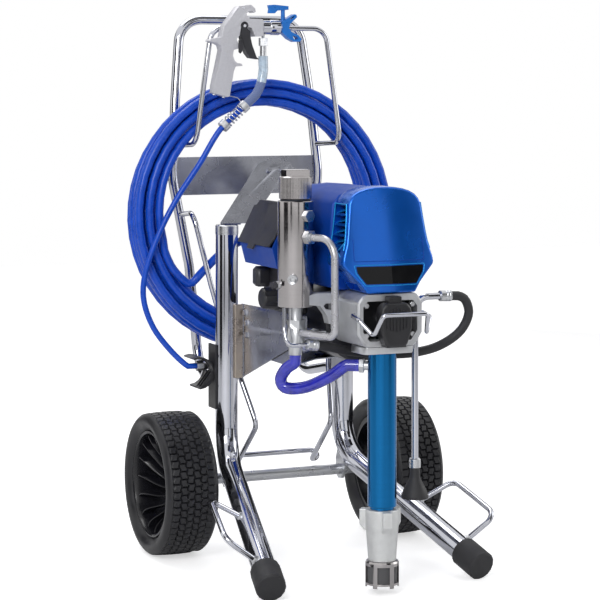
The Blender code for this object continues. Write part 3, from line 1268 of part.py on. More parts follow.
def make_spring_guard(start, run, chrome):
    """Coiled wire guard round the thin hose, between the two collars."""
    turn = rotation_to(run).to_3x3()
    room = SPRING_LENGTH - 2 * SPRING_WIRE - 2 * GAP
    count = SPRING_TURNS * SPRING_POINTS
    wire = []
    for i in range(count + 1):
        angle = 2 * math.pi * i / SPRING_POINTS
        along = SPRING_WIRE + GAP + room * i / count
        spot = Vector((SPRING_R * math.cos(angle), SPRING_R * math.sin(angle), along))
        wire.append(start + turn @ spot)
    tube("spring_guard", wire, SPRING_WIRE, chrome, detail=1)
    print(f"spring guard: least gap {1000 * (room / SPRING_TURNS - 2 * SPRING_WIRE):.2f} mm")


# ---------------------------------------------------------------- the whole cart
def build():
    chrome = finish("chromed_steel", (0.62, 0.62, 0.65), 0.12, 1.0)
    zinc = finish("zinc_plated", (0.60, 0.61, 0.63), 0.35, 1.0)
    stainless = finish("stainless", (0.45, 0.42, 0.40), 0.25, 1.0)
    sheet = finish("galvanised_sheet", (0.42, 0.43, 0.47), 0.38, 1.0)
    cast = finish("cast_aluminium", (0.52, 0.53, 0.55), 0.55, 0.7)
    rubber = finish("black_rubber", (0.030, 0.030, 0.034), 0.75, 0.0)
    tyre = finish("tyre_rubber", (0.022, 0.022, 0.024), 0.85, 0.0)
    black = finish("black_plastic", (0.020, 0.020, 0.023), 0.45, 0.0)
    dark = finish("dark_plastic", (0.035, 0.036, 0.045), 0.50, 0.0)
    blue = finish("blue_moulding", (0.010, 0.110, 0.480), 0.28, 0.1)
    side_blue = finish("dark_blue_moulding", (0.010, 0.045, 0.330), 0.35, 0.1)
    hose_blue = finish("blue_hose", (0.010, 0.055, 0.600), 0.40, 0.0)
    sleeve_blue = finish("blue_anodised", (0.010, 0.090, 0.260), 0.16, 1.0)
    clear_blue = finish("clear_blue_hose", (0.100, 0.140, 0.750), 0.20, 0.0)
    clear = finish("clear_sleeve", (0.450, 0.560, 0.700), 0.15, 0.0)
    tip_blue = finish("tip_blue", (0.020, 0.160, 0.620), 0.40, 0.0)
    white = finish("white_pipe", (0.560, 0.550, 0.540), 0.35, 0.3)

    make_legs(chrome, zinc)
    for side in (-1, 1):
        make_foot_cap(side, rubber)
    make_handle(chrome)
    make_back_band(sheet)
    make_hose_hanger(chrome)
    make_lower_rack(chrome)
    make_axle(zinc)
    make_gable_plate(sheet, zinc)
    make_side_plates(sheet, zinc)
    make_motor_shelf(sheet)
    make_wheels(tyre, black)

    make_motor(blue, side_blue)
    make_motor_body(dark)
    housing = make_drive_housing(cast)
    add_filter_arm(housing, cast)
    make_rod_cover(black)
    make_pump(sleeve_blue, cast, zinc, stainless)
    make_piston_rod(zinc)
    make_pail_hook(zinc)

    make_filter(stainless, zinc)
    make_prime_handle(dark)
    make_outlet_block(zinc)
    make_outlet_pipe(white, zinc)
    make_inlet_hose(clear_blue)
    make_return_line(black, zinc, chrome)
    make_tool_box(side_blue, dark)
    make_controls(dark, black)

    make_hose_cradle(black)
    whip_joint, main_joint = make_hose_joint(zinc)
    coil = make_coil(hose_blue)
    make_supply_hose(hose_blue, coil)
    make_tail_hose(hose_blue, coil, main_joint)
    make_gun(cast, dark, chrome, tip_blue)
    make_gun_hose(zinc, clear, chrome, hose_blue, whip_joint)


clear_scene()
PARTS = new_collection("airless_paint_sprayer")
CUTTERS = new_collection("cutters")
DATUM = bpy.data.objects.new("datum", None)
DATUM.location = (0, (FRONT_REACH - REAR_REACH) / 2, 0)
PARTS.objects.link(DATUM)
build()
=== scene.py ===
import json
import math

import bmesh
import bpy
from mathutils import Matrix, Vector

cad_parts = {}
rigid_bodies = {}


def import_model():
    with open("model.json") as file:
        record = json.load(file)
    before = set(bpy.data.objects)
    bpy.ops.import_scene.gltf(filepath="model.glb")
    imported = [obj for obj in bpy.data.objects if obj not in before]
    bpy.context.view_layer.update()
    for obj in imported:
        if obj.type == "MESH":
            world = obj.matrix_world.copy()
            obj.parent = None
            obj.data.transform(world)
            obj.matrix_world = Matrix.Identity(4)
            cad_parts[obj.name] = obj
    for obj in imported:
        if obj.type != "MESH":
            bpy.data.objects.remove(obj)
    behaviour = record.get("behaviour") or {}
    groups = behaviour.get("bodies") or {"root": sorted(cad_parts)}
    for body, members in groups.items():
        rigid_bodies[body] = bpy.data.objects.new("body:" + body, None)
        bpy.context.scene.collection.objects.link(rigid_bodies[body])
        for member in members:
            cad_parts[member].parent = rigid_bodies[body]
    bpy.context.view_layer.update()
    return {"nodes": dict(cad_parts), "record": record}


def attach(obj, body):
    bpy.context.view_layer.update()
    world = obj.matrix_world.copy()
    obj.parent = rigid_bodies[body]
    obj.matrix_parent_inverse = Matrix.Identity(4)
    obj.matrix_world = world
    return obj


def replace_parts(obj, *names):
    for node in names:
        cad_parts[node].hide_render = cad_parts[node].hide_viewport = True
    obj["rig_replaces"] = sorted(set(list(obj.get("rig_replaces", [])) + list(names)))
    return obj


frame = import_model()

# Metres throughout. Depths are measured from the wheel axle; AXLE takes them to the part's frame.
AXLE = Vector((0, 0.14565, 0))
SIDES = ((-1, "left"), (1, "right"))
GAP = 0.0003                    # clearance between pieces that touch
ROD_R = 0.005                   # bent rods of the cart
LEG_X, LEG_Y, LEG_R = 0.1175, -0.005, 0.021
LEG_BEND = 0.17                 # height where an upright turns into its foot
FOOT_X, FOOT_Y, FOOT_Z = 0.1996, -0.4172, 0.025
UPRIGHT_TOP = 0.591
PUMP_Y = -0.429
SLEEVE_R = 0.0247
INLET_ANGLE, INLET_Z = 150, 0.386
FILTER_XY = (-0.1245, -0.345)
FILTER_R = 0.0308
FILTER_FOOT = 0.484
OUTLET_ANGLE, OUTLET_Z = -73.5, 0.605
BODY_OF = {node: body for body, nodes in frame["record"]["behaviour"]["bodies"].items() for node in nodes}


# -------------------- materials
FINISH = {}                     # materials by name; the frame may hold others of the same name


def node(tree, kind, source=None, into=None, **values):
    """A shader node with its values, fed at one socket by another node's output."""
    made = tree.nodes.new("ShaderNode" + kind)
    for name, value in values.items():
        made.inputs[name.replace("_", " ")].default_value = value
    if source:
        tree.links.new(source, made.inputs[into])
    return made


def material(name):
    made = bpy.data.materials.new(name)
    made.use_nodes = True
    return made, made.node_tree, made.node_tree.nodes["Principled BSDF"]


def shade(tree, source, low, high, ends=(0.0, 1.0)):
    """Blend two colours by a value, as the material's colour."""
    ramp = node(tree, "ValToRGB", source, "Fac")
    for stop, position, colour in zip(ramp.color_ramp.elements, ends, (low, high)):
        stop.position = position
        stop.color = (*colour, 1)
    tree.links.new(ramp.outputs["Color"], tree.nodes["Principled BSDF"].inputs["Base Color"])


def emboss(tree, source, strength, depth):
    relief = node(tree, "Bump", source, "Height", Strength=strength, Distance=depth)
    tree.links.new(relief.outputs["Normal"], tree.nodes["Principled BSDF"].inputs["Normal"])


def surface(name, colour, rough, metallic, spread, bump, scale=25.0, grain=700.0, stretch=(1, 1, 1),
        cells=False, rough_spread=0.25, **extra):
    """Principled material whose colour, roughness and relief vary with procedural noise."""
    made, tree, shader = material(name)
    shader.inputs["Metallic"].default_value = metallic
    for key, value in extra.items():
        shader.inputs[key.replace("_", " ")].default_value = value
    place = node(tree, "TexCoord").outputs["Object"]
    shape = node(tree, "Mapping", place, "Vector", Scale=stretch).outputs["Vector"]
    cloud, fine = [node(tree, "TexNoise", shape, "Vector", Scale=size, Detail=detail,
        Roughness=0.6) .outputs["Fac"] for size, detail in ((scale, 4.0), (grain, 3.0))]
    tone = cloud
    if cells:
        tone = node(tree, "TexVoronoi", shape, "Vector", Scale=scale * 4).outputs["Color"]
    darker, lighter = [c * (1 - spread) for c in colour], [min(1.0, c * (1 + spread)) for c in colour]
    shade(tree, tone, darker, lighter, (0.3, 0.7))
    worn = node(tree, "MapRange", cloud, "Value", From_Min=0.3, From_Max=0.7,
        To_Min=rough * (1 - rough_spread), To_Max=min(1.0, rough * (1 + rough_spread)))
    tree.links.new(worn.outputs["Result"], shader.inputs["Roughness"])
    emboss(tree, fine, bump, 0.0004)
    FINISH[name] = made
    return made


def woven(name, colour, dark, rough, scale):
    """Braided cover: two crossing waves as colour and relief."""
    made = surface(name, colour, rough, 0.0, 0.12, 0.15, grain=900.0)
    tree = made.node_tree
    place = tree.nodes["Texture Coordinate"].outputs["Object"]
    both = node(tree, "Math")
    both.operation = 'MULTIPLY'
    for slot, direction in enumerate(('X', 'Z')):
        wave = node(tree, "TexWave", place, "Vector", Scale=scale, Distortion=1.5)
        wave.bands_direction = direction
        tree.links.new(wave.outputs["Fac"], both.inputs[slot])
    shade(tree, both.outputs["Value"], dark, colour)
    emboss(tree, both.outputs["Value"], 0.5, 0.0005)
    return made


# Name, colour, roughness, metallic share, spread of the colour, relief, and what else is not as usual.
surface("chrome", (0.56, 0.57, 0.62), 0.07, 1.0, 0.05, 0.02, rough_spread=0.35)
surface("zinc", (0.58, 0.59, 0.61), 0.32, 1.0, 0.1, 0.08)
surface("stainless", (0.42, 0.4, 0.4), 0.15, 1.0, 0.04, 0.03, grain=260.0, stretch=(1, 1, 12))
surface("sheet", (0.42, 0.43, 0.48), 0.26, 1.0, 0.05, 0.03, scale=14.0, cells=True)
surface("cast", (0.55, 0.56, 0.58), 0.52, 0.75, 0.08, 0.35, scale=90.0, grain=1500.0)
surface("sleeve", (0.012, 0.15, 0.38), 0.14, 1.0, 0.05, 0.02, stretch=(1, 1, 14), grain=240.0)
surface("rubber", (0.022, 0.022, 0.025), 0.62, 0.0, 0.2, 0.25, grain=900.0)
surface("tyre", (0.011, 0.011, 0.014), 0.42, 0.0, 0.2, 0.18, grain=900.0)
surface("black", (0.016, 0.016, 0.019), 0.38, 0.0, 0.15, 0.18, grain=1400.0)
surface("dark", (0.028, 0.028, 0.034), 0.42, 0.0, 0.12, 0.2, grain=1400.0)
surface("blue", (0.003, 0.115, 0.56), 0.24, 0.6, 0.08, 0.03, scale=12.0, grain=500.0, Coat_Weight=0.12,
    Coat_Roughness=0.1)
surface("side_blue", (0.003, 0.05, 0.34), 0.38, 0.1, 0.06, 0.02, scale=14.0, grain=900.0,
    Specular_IOR_Level=0.22)
surface("hose_blue", (0.005, 0.075, 0.56), 0.3, 0.0, 0.1, 0.05, scale=60.0, grain=600.0,
    Specular_IOR_Level=0.35, Coat_Weight=0.1, Coat_Roughness=0.12)
surface("clear_blue", (0.03, 0.035, 0.52), 0.14, 0.0, 0.3, 0.05, scale=45.0, Coat_Weight=0.8,
    Coat_Roughness=0.06, Transmission_Weight=0.15)
surface("clear", (0.5, 0.62, 0.74), 0.12, 0.0, 0.25, 0.15, scale=120.0, grain=500.0, Coat_Weight=0.7,
    Coat_Roughness=0.05)
surface("white", (0.52, 0.52, 0.55), 0.28, 0.65, 0.03, 0.01)
surface("tip_blue", (0.01, 0.18, 0.64), 0.34, 0.0, 0.1, 0.1, grain=1200.0)
surface("gloss_black", (0.006, 0.006, 0.007), 0.22, 0.0, 0.1, 0.01, Specular_IOR_Level=0.2)
# Lighter copy of the cover's blue for the vent blades, rails and bars and the plate's lip: painted highlight.
surface("painted_highlight_blue", (0.01, 0.33, 0.78), 0.24, 0.45, 0.1, 0.03)
surface("blasted", (0.63, 0.63, 0.67), 0.55, 0.45, 0.06, 0.3, scale=300.0, grain=1500.0)
surface("rim_black", (0.008, 0.008, 0.011), 0.2, 0.0, 0.15, 0.05)
surface("pale_cast", (0.7, 0.71, 0.71), 0.5, 0.55, 0.06, 0.3, scale=90.0, grain=1500.0)
surface("gold_zinc", (0.5, 0.43, 0.36), 0.3, 1.0, 0.06, 0.04)
# Near-black used as painted shade: behind the vent slots and in the gap under the filter's cap.
surface("painted_shade", (0.006, 0.008, 0.016), 0.7, 0.0, 0.2, 0.1)
woven("braided_cover", (0.45, 0.55, 0.7), (0.05, 0.09, 0.3), 0.35, 260.0)
woven("screen_mesh", (0.34, 0.34, 0.35), (0.02, 0.02, 0.024), 0.45, 900.0)


# -------------------- helpers
def add(item, finish, nodes, look=None):
    """Put a piece in the scene with its material, the nodes it stands for and the body that they are on."""
    bpy.context.scene.collection.objects.link(item)
    item.data.materials.clear()
    item.data.materials.append(FINISH[look or finish])
    names = [nodes] if isinstance(nodes, str) else list(nodes)
    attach(item, BODY_OF[names[0]])
    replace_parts(item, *names)
    return item


def smooth(mesh, angle):
    mesh.shade_smooth()
    mesh.set_sharp_from_angle(angle=math.radians(angle))


def mesh_of(shape, name, angle=None, outward=True):
    """The finished mesh of a shape, smooth where its faces meet flatter than the angle."""
    if outward:
        bmesh.ops.recalc_face_normals(shape, faces=shape.faces)
    mesh = bpy.data.meshes.new(name)
    shape.to_mesh(mesh)
    shape.free()
    if angle is not None:
        smooth(mesh, angle)
    return mesh


def piece(shape, name, angle, finish, nodes, look=None):
    return add(bpy.data.objects.new(name, mesh_of(shape, name, angle)), finish, nodes, look)


def soften(item, width, segments=2, angle=40):
    step = item.modifiers.new("edge", 'BEVEL')
    step.width = width
    step.segments = segments
    step.limit_method = 'ANGLE'
    step.angle_limit = math.radians(angle)
    step.harden_normals = True
    return item


def dress(node_name, finish, edge=0.0004, look=None):
    """The solid's own form with welded, softened edges and smooth round faces."""
    shape = bmesh.new()
    shape.from_mesh(frame["nodes"][node_name].data)
    bmesh.ops.remove_doubles(shape, verts=shape.verts, dist=0.00001)
    bmesh.ops.dissolve_limit(shape, angle_limit=math.radians(0.3), verts=shape.verts, edges=shape.edges)
    name = node_name + "_form"
    mesh = mesh_of(shape, name, 38, outward=False)
    item = add(bpy.data.objects.new(name, mesh), finish, node_name, look)
    return soften(item, edge) if edge else item


def ring_of(shape, points):
    return [shape.verts.new(point) for point in points]


def bridge(shape, first, second):
    """Faces between two closed rings of as many points."""
    for i in range(len(first)):
        j = (i + 1) % len(first)
        shape.faces.new((first[i], first[j], second[j], second[i]))


def rotation_to(direction):
    return Vector(direction).normalized().to_track_quat('Z', 'Y').to_matrix().to_4x4()


def round_corners(points, radii, steps=8):
    """A bent tube's centreline: straight runs joined by arcs."""
    points = [Vector(p) for p in points]
    if not hasattr(radii, "__len__"):
        radii = [radii] * (len(points) - 2)
    path = [points[0]]
    for i, radius in enumerate(radii, start=1):
        before = (points[i - 1] - points[i]).normalized()
        after = (points[i + 1] - points[i]).normalized()
        half = before.angle(after) / 2
        middle = points[i] + (before + after).normalized() * radius / math.sin(half)
        setback = radius / math.tan(half)
        first = points[i] + before * setback - middle
        last = points[i] + after * setback - middle
        sweep = math.pi - 2 * half
        for k in range(steps + 1):
            share = k / steps
            arm = first.lerp(last, share)
            if sweep > 1e-4:
                arm = first * math.sin((1 - share) * sweep) + last * math.sin(share * sweep)
                arm /= math.sin(sweep)
            path.append(middle + arm)
    path.append(points[-1])
    return path


def smooth_route(points, spacing):
    """Points along a smooth curve through a route, straight in its first and last stretches."""
    points = [Vector(p) for p in points]
    dense = []
    for a, b, c, d in zip(points, points[1:], points[2:], points[3:]):
        for k in range(20):
            t = k / 20
            dense.append(0.5 * (2 * b + (c - a) * t + (2 * a - 5 * b + 4 * c - d) * t ** 2
                + (3 * b - a - 3 * c + d) * t ** 3))
    dense.append(points[-2])
    total = run_length(dense)
    count = max(2, round(total / spacing))
    route, walked = [dense[0]], 0.0
    for p, q in zip(dense, dense[1:]):
        length = (q - p).length
        while walked + length >= total / count * len(route) and len(route) < count:
            route.append(p.lerp(q, (total / count * len(route) - walked) / length))
        walked += length
    return [points[0], *route, dense[-1], points[-1]]


def run_length(path):
    return sum((Vector(q) - Vector(p)).length for p, q in zip(path, path[1:]))


def both_sides(half):
    """A symmetric route from its right half, listed from left to right."""
    return [(-x, y, z) for x, y, z in reversed(half)] + list(half)


def mirrored(outline):
    """A symmetric outline from one half of it."""
    return outline + [(-x, z) for x, z in outline[::-1] if abs(x) > 1e-6]


def tube(name, path, radius, finish, nodes, detail=6, look=None):
    curve = bpy.data.curves.new(name, 'CURVE')
    curve.dimensions = '3D'
    curve.bevel_depth = radius
    curve.bevel_resolution = detail
    curve.use_fill_caps = True
    line = curve.splines.new('POLY')
    line.points.add(len(path) - 1)
    for point, place in zip(line.points, path):
        point.co = (*(Vector(place) + AXLE), 1.0)
    line.use_smooth = True
    return add(bpy.data.objects.new(name, curve), finish, nodes, look)


def turned(name, profile, finish, nodes, start, axis=(0, 0, 1), steps=64, edge=0.0, look=None, ring=False):
    """A shape turned about its axis; the profile lists (radius, height) down its outer side."""
    turn = Matrix.Translation(Vector(start) + AXLE) @ rotation_to(axis)
    shape = bmesh.new()
    count = len(profile)
    rings = []
    for r, z in profile:
        angles = [2 * math.pi * k / steps for k in range(steps if r > 1e-6 else 1)]
        rings.append([shape.verts.new(turn @ Vector((r * math.cos(a), r * math.sin(a), z))) for a in angles])
    for i in range(count if ring else count - 1):
        here, there = rings[i], rings[(i + 1) % count]
        for k in range(steps):
            n = (k + 1) % steps
            corners = [here[k % len(here)], there[k % len(there)], there[n % len(there)], here[n % len(here)]]
            face = list(dict.fromkeys(corners))
            if len(face) > 2:
                shape.faces.new(face)
    item = piece(shape, name, 30, finish, nodes, look)
    return soften(item, edge, angle=35) if edge else item


def rod(name, start, end, radius, finish, nodes, steps=32, edge=0.0004):
    run = Vector(end) - Vector(start)
    profile = [(0, run.length), (radius, run.length), (radius, 0), (0, 0)]
    return turned(name, profile, finish, nodes, start, run, steps, edge)


def hexagon(name, at, direction, across, height, finish, nodes):
    end = Vector(at) + Vector(direction).normalized() * height
    return rod(name, at, end, across / 2 / math.cos(math.pi / 6), finish, nodes, steps=6, edge=0.0006)


def slab(name, outline, thickness, finish, plane, nodes, edge=0.0004, segments=2, look=None):
    """A flat outline with thickness and softened edges."""
    shape = bmesh.new()
    low, high = [ring_of(shape, [(x, y, z) for x, y in outline]) for z in (-thickness / 2, thickness / 2)]
    shape.faces.new(high)
    shape.faces.new(low[::-1])
    bridge(shape, low, high)
    bmesh.ops.transform(shape, matrix=Matrix.Translation(AXLE) @ plane, verts=shape.verts)
    item = piece(shape, name, 38, finish, nodes, look)
    return soften(item, edge, segments) if edge else item


def block(name, low, high, finish, nodes, edge=0.0006, look=None):
    (x0, y0, z0), (x1, y1, z1) = low, high
    outline = [(x0, y0), (x1, y0), (x1, y1), (x0, y1)]
    plane = Matrix.Translation((0, 0, (z0 + z1) / 2))
    return slab(name, outline, z1 - z0, finish, plane, nodes, edge, look=look)


def facing_front(y):
    return Matrix.Translation((0, y, 0)) @ Matrix.Rotation(math.pi / 2, 4, 'X')


def facing_side(x):
    return Matrix.Translation((x, 0, 0)) @ Matrix(((0, 0, 1, 0), (1, 0, 0, 0), (0, 1, 0, 0), (0, 0, 0, 1)))


# -------------------- stage, lights and camera
MIDDLE = Vector((0, 0, 0.5))
AMBIENT = 0.42                  # the world's light on the object; it is white where it is seen
FLOOR_WIDTH = 12
FLOOR_GLOW = 0.55               # lifts the seen floor to white outside the shadow
# name, place, size, watts
LAMPS = (("key", (-2.4, -2.6, 2.3), (1.5, 1.5), 62), ("fill", (3.0, -0.4, 1.6), (1.6, 1.6), 14),
    ("top", (-0.2, 1.2, 3.0), (2.0, 1.4), 30))
# Dark studio boards, seen only in reflections, that give bright metal its contrast: name, place, size
FLAGS = (("flag_high", (1.5, -2.6, 2.7), (1.8, 1.3)), ("flag_top", (0.2, -1.4, 3.5), (2.4, 1.4)),
    ("flag_right_front", (2.1, -2.7, 1.0), (1.5, 3.0)), ("flag_left", (-3.0, -0.3, 0.9), (1.7, 2.6)),
    ("flag_front", (-0.35, -4.4, 0.9), (0.6, 2.8)), ("flag_front_left", (-3.4, -2.9, 0.6), (0.8, 2.4)),
    ("flag_back_left", (-1.6, 3.0, 0.9), (1.8, 2.6)), ("flag_back_right", (2.6, 2.2, 0.9), (1.8, 2.6)))


def set_world():
    """White where the camera or a reflection sees it, dimmer as a light."""
    world = bpy.data.worlds.new("studio")
    bpy.context.scene.world = world
    world.use_nodes = True
    tree = world.node_tree
    seen = node(tree, "LightPath").outputs
    reflected = node(tree, "Math", seen["Is Glossy Ray"], 0)
    tree.links.new(seen["Is Transmission Ray"], reflected.inputs[1])
    any_ray = node(tree, "Math", seen["Is Camera Ray"], 0)
    tree.links.new(reflected.outputs["Value"], any_ray.inputs[1])
    reflected.operation = any_ray.operation = 'MAXIMUM'
    strength = node(tree, "MapRange", any_ray.outputs["Value"], "Value", To_Min=AMBIENT, To_Max=1.0)
    background = tree.nodes["Background"]
    background.inputs["Color"].default_value = (1, 1, 1, 1)
    tree.links.new(strength.outputs["Result"], background.inputs["Strength"])


def board(name, width, height, look):
    """A flat sheet that belongs to the stage, not to the part."""
    w, h = width / 2, height / 2
    mesh = bpy.data.meshes.new(name)
    mesh.from_pydata([(-w, -h, 0), (w, -h, 0), (w, h, 0), (-w, h, 0)], [], [(0, 1, 2, 3)])
    mesh.materials.append(look)
    sheet = bpy.data.objects.new(name, mesh)
    bpy.context.scene.collection.objects.link(sheet)
    return sheet


def plain(name, colour, rough):
    made, tree, shader = material(name)
    shader.inputs["Base Color"].default_value = (*colour, 1)
    shader.inputs["Roughness"].default_value = rough
    return made, tree, shader


def set_floor():
    pale, tree, shader = plain("pale_floor", (0.92, 0.92, 0.93), 0.55)
    shader.inputs["Emission Color"].default_value = (1, 1, 1, 1)
    glow = node(tree, "Math", node(tree, "LightPath").outputs["Is Camera Ray"], 0)
    glow.operation = 'MULTIPLY'
    glow.inputs[1].default_value = FLOOR_GLOW
    tree.links.new(glow.outputs["Value"], shader.inputs["Emission Strength"])
    board("floor", FLOOR_WIDTH, FLOOR_WIDTH, pale)


def aim(item, place):
    """Put a lamp or board in its place, turned to the middle of the part."""
    turn = (MIDDLE - Vector(place)).to_track_quat('-Z', 'Y').to_matrix().to_4x4()
    item.matrix_world = Matrix.Translation(place) @ turn


def set_lights():
    for name, place, size, power in LAMPS:
        data = bpy.data.lights.new(name, 'AREA')
        data.shape = 'RECTANGLE'
        data.size, data.size_y = size
        data.energy = power
        lamp = bpy.data.objects.new(name, data)
        bpy.context.scene.collection.objects.link(lamp)
        aim(lamp, place)
    black = plain("flag_black", (0.01, 0.01, 0.012), 0.9)[0]
    for name, place, size in FLAGS:
        flag = board(name, *size, black)
        flag.visible_camera = flag.visible_diffuse = flag.visible_shadow = False
        aim(flag, place)


def set_camera():
    data = bpy.data.cameras.new("camera")
    data.sensor_width = 36
    data.lens = 128.405
    data.shift_y = -0.3732
    camera = bpy.data.objects.new("camera", data)
    camera.location = (-1.5769, -3.57346, 0.87964)
    camera.rotation_euler = (math.pi / 2, 0, -0.4086)
    bpy.context.scene.collection.objects.link(camera)
    bpy.context.scene.camera = camera


# -------------------- hoses
HOSE_R = 0.00785
WHIP_R = 0.0055
COIL_CENTRE = (-0.002, 0.612)
COIL_HALF_WIDTH, COIL_HALF_HEIGHT = 0.265, 0.2584
COIL_PITCH = 0.018              # from turn to turn outwards
COIL_LOOSENING = 0.25           # share by which the hanging turns spread at the bottom
COIL_LAYERS = 4
COIL_TURNS = 2.5                # in one layer
COIL_ALL_TURNS = 9.76
COIL_START = 192                # degrees
COIL_FRONT = 0.0885
COIL_LAYER_PITCH = 0.0165
COIL_LEAN = 0.045
COIL_POINTS = 48                # in one turn
JOINT = Vector((0, 0.033, 0.3375))
TRIGGER_PIN = (-0.0629, 0.053, 0.975)
COLLAR = 0.0125                 # length of a collar on the thin hose


def coil_point(turn):
    """Point on the piled coil after a number of turns from its loose front end."""
    angle = math.radians(COIL_START) - 2 * math.pi * turn
    cycle = turn % (2 * COIL_TURNS)
    outward = min(cycle, 2 * COIL_TURNS - cycle)
    looser = 1 + COIL_LOOSENING * (1 - math.sin(angle)) / 2
    inset = (COIL_TURNS - outward) * COIL_PITCH * looser
    layer = sum(ease(min(max((turn - k * COIL_TURNS + 0.25) / 0.5, 0.0), 1.0)) for k in range(1, COIL_LAYERS))
    x = COIL_CENTRE[0] + (COIL_HALF_WIDTH - inset) * math.cos(angle)
    z = COIL_CENTRE[1] + (COIL_HALF_HEIGHT - inset) * math.sin(angle)
    return Vector((x, COIL_FRONT + COIL_LAYER_PITCH * layer + COIL_LEAN * (z - COIL_CENTRE[1]), z))


def ease(t):
    return t * t * (3 - 2 * t)


def make_main_hose():
    """The paint hose in one length: elbow, loose run, wound coil, tail and coupling."""
    count = round(COIL_ALL_TURNS * COIL_POINTS)
    coil = [coil_point(COIL_ALL_TURNS * i / count) for i in range(count + 1)]
    start, end = coil[0], coil[-1]
    back = (start - coil_point(1 / 24)).normalized()
    run = (end - coil_point(COIL_ALL_TURNS - 1 / 24)).normalized()
    elbow = Vector((-0.0785, -0.3147, 0.4325))
    supply = smooth_route([start + back * GAP, start + back * 0.018, (-0.1945, 0.084, 0.52),
        (-0.1735, 0.0835, 0.496), (-0.156, 0.083, 0.487), (-0.136, 0.076, 0.508), (-0.112, 0.046, 0.543),
        (-0.096, 0.02, 0.562), (-0.076, -0.015, 0.574), (-0.069, -0.06, 0.552), (-0.074, -0.1, 0.5),
        (-0.0785, -0.145, 0.456), (-0.0785, -0.21, 0.436), elbow + Vector((0, 0.02, 0)), elbow], 0.01)
    joint = JOINT + Vector((-0.1337, 0, 0))
    tail = smooth_route([end + run * GAP, end + run * 0.018, (-0.012, 0.142, 0.3995), (-0.04, 0.15, 0.378),
        (-0.062, 0.147, 0.352), (-0.08, 0.122, 0.34), (-0.1, 0.08, 0.3405), (-0.112, 0.052, 0.341),
        joint + Vector((0.014, 0.0, 0.0)), joint], 0.01)
    path = supply[::-1] + coil + tail
    hose = tube("main_hose", path, HOSE_R, "hose_blue", ("hose_coil", "supply_hose", "tail_hose"), detail=5)


def gun_point(x, z, y=0.0):
    """World point from millimetres measured off the gun's trigger pin."""
    return Vector([pin + offset / 1000 for pin, offset in zip(TRIGGER_PIN, (x, y, z))])


def make_whip_hose():
    """Thin hose from the coupling up to the gun, with its sleeve, collars and wire guard."""
    line = smooth_route([gun_point(42.5, -57.3), gun_point(42.5, -67), gun_point(42.5, -84, -1),
        gun_point(37.5, -109, -2), gun_point(25.5, -132, -3), gun_point(6.5, -149, -3)], 0.013)
    split = int(len(line) * 0.56)
    sleeve = [tube("sleeve_clear", line[:split + 1], 0.0092, "clear", "hose_sleeve", detail=8),
        tube("sleeve_woven", line[split:], 0.0091, "clear", "hose_sleeve", 8, "braided_cover")]
    run = (line[-1] - line[-2]).normalized()
    start = line[-1] + run * GAP
    joint = JOINT + Vector((-0.1643, 0, 0))
    whip = [start, start + run * 0.07, (-0.15, 0.056, 0.712), (-0.19, 0.062, 0.652), (-0.223, 0.066, 0.59),
        (-0.25, 0.068, 0.52), (-0.256, 0.068, 0.465), (-0.24, 0.062, 0.412), (-0.21, 0.05, 0.368),
        joint + Vector((-0.016, 0.0, 0.0)), joint]
    route = smooth_route(whip, 0.008)[::-1]
    hose = tube("thin_hose", route, WHIP_R, "hose_blue", "whip_hose", detail=5)
    parts = make_wire_guard(start, run)


def make_wire_guard(start, run):
    """Spring round the thin hose, between its two collars."""
    turn = rotation_to(run).to_3x3()
    guard = start + run * (COLLAR + GAP)
    length, wire, turns, radius = 0.04, 0.0011, 5, 0.01
    room = length - 2 * wire - 2 * GAP
    count = turns * 28
    path = []
    for i in range(count + 1):
        angle = 2 * math.pi * turns * i / count
        arm = Vector((radius * math.cos(angle), radius * math.sin(angle), wire + GAP + room * i / count))
        path.append(guard + turn @ arm)
    made = [tube("wire_guard", path, wire, "chrome", "spring_guard", detail=4)]
    ring = [(0.0104, COLLAR), (0.0112, COLLAR - 0.0008), (0.0112, 0.0008), (0.0104, 0.0), (0.006, 0.0),
        (0.006, COLLAR)]
    for name, place in (("hose_collar_top", start), ("hose_collar_low", guard + run * (length + GAP))):
        made.append(turned(name + "_form", ring, "zinc", name, place, run, ring=True, steps=40))
    return made


# -------------------- tube frame
HANDLE_R = 0.0095
HANDLE_HALF = [(0.1265, 0.2237, 0.9905), (0.1436, 0.204, 0.833), (0.1545, 0.19, 0.683),
    (0.1205, 0.188, 0.511), (0.1, 0.183, 0.292), (LEG_X, 0.055, 0.3192),
    (LEG_X, LEG_Y + LEG_R - 0.001, 0.3192)]
HANDLE_BENDS = [0.049, 0.15, 0.15, 0.15, 0.055, 0.06]
FOOT_CAP_R = 0.0263


def handle_path(steps):
    return round_corners(both_sides(HANDLE_HALF), HANDLE_BENDS[::-1] + HANDLE_BENDS, steps)


def handle_at(height):
    """Point on the right side of the handle's centreline."""
    path = [p for p in handle_path(2) if p.x > 0]
    for p, q in zip(path, path[1:]):
        if p.z >= height > q.z:
            return p.lerp(q, (p.z - height) / (p.z - q.z))
    return path[-1]


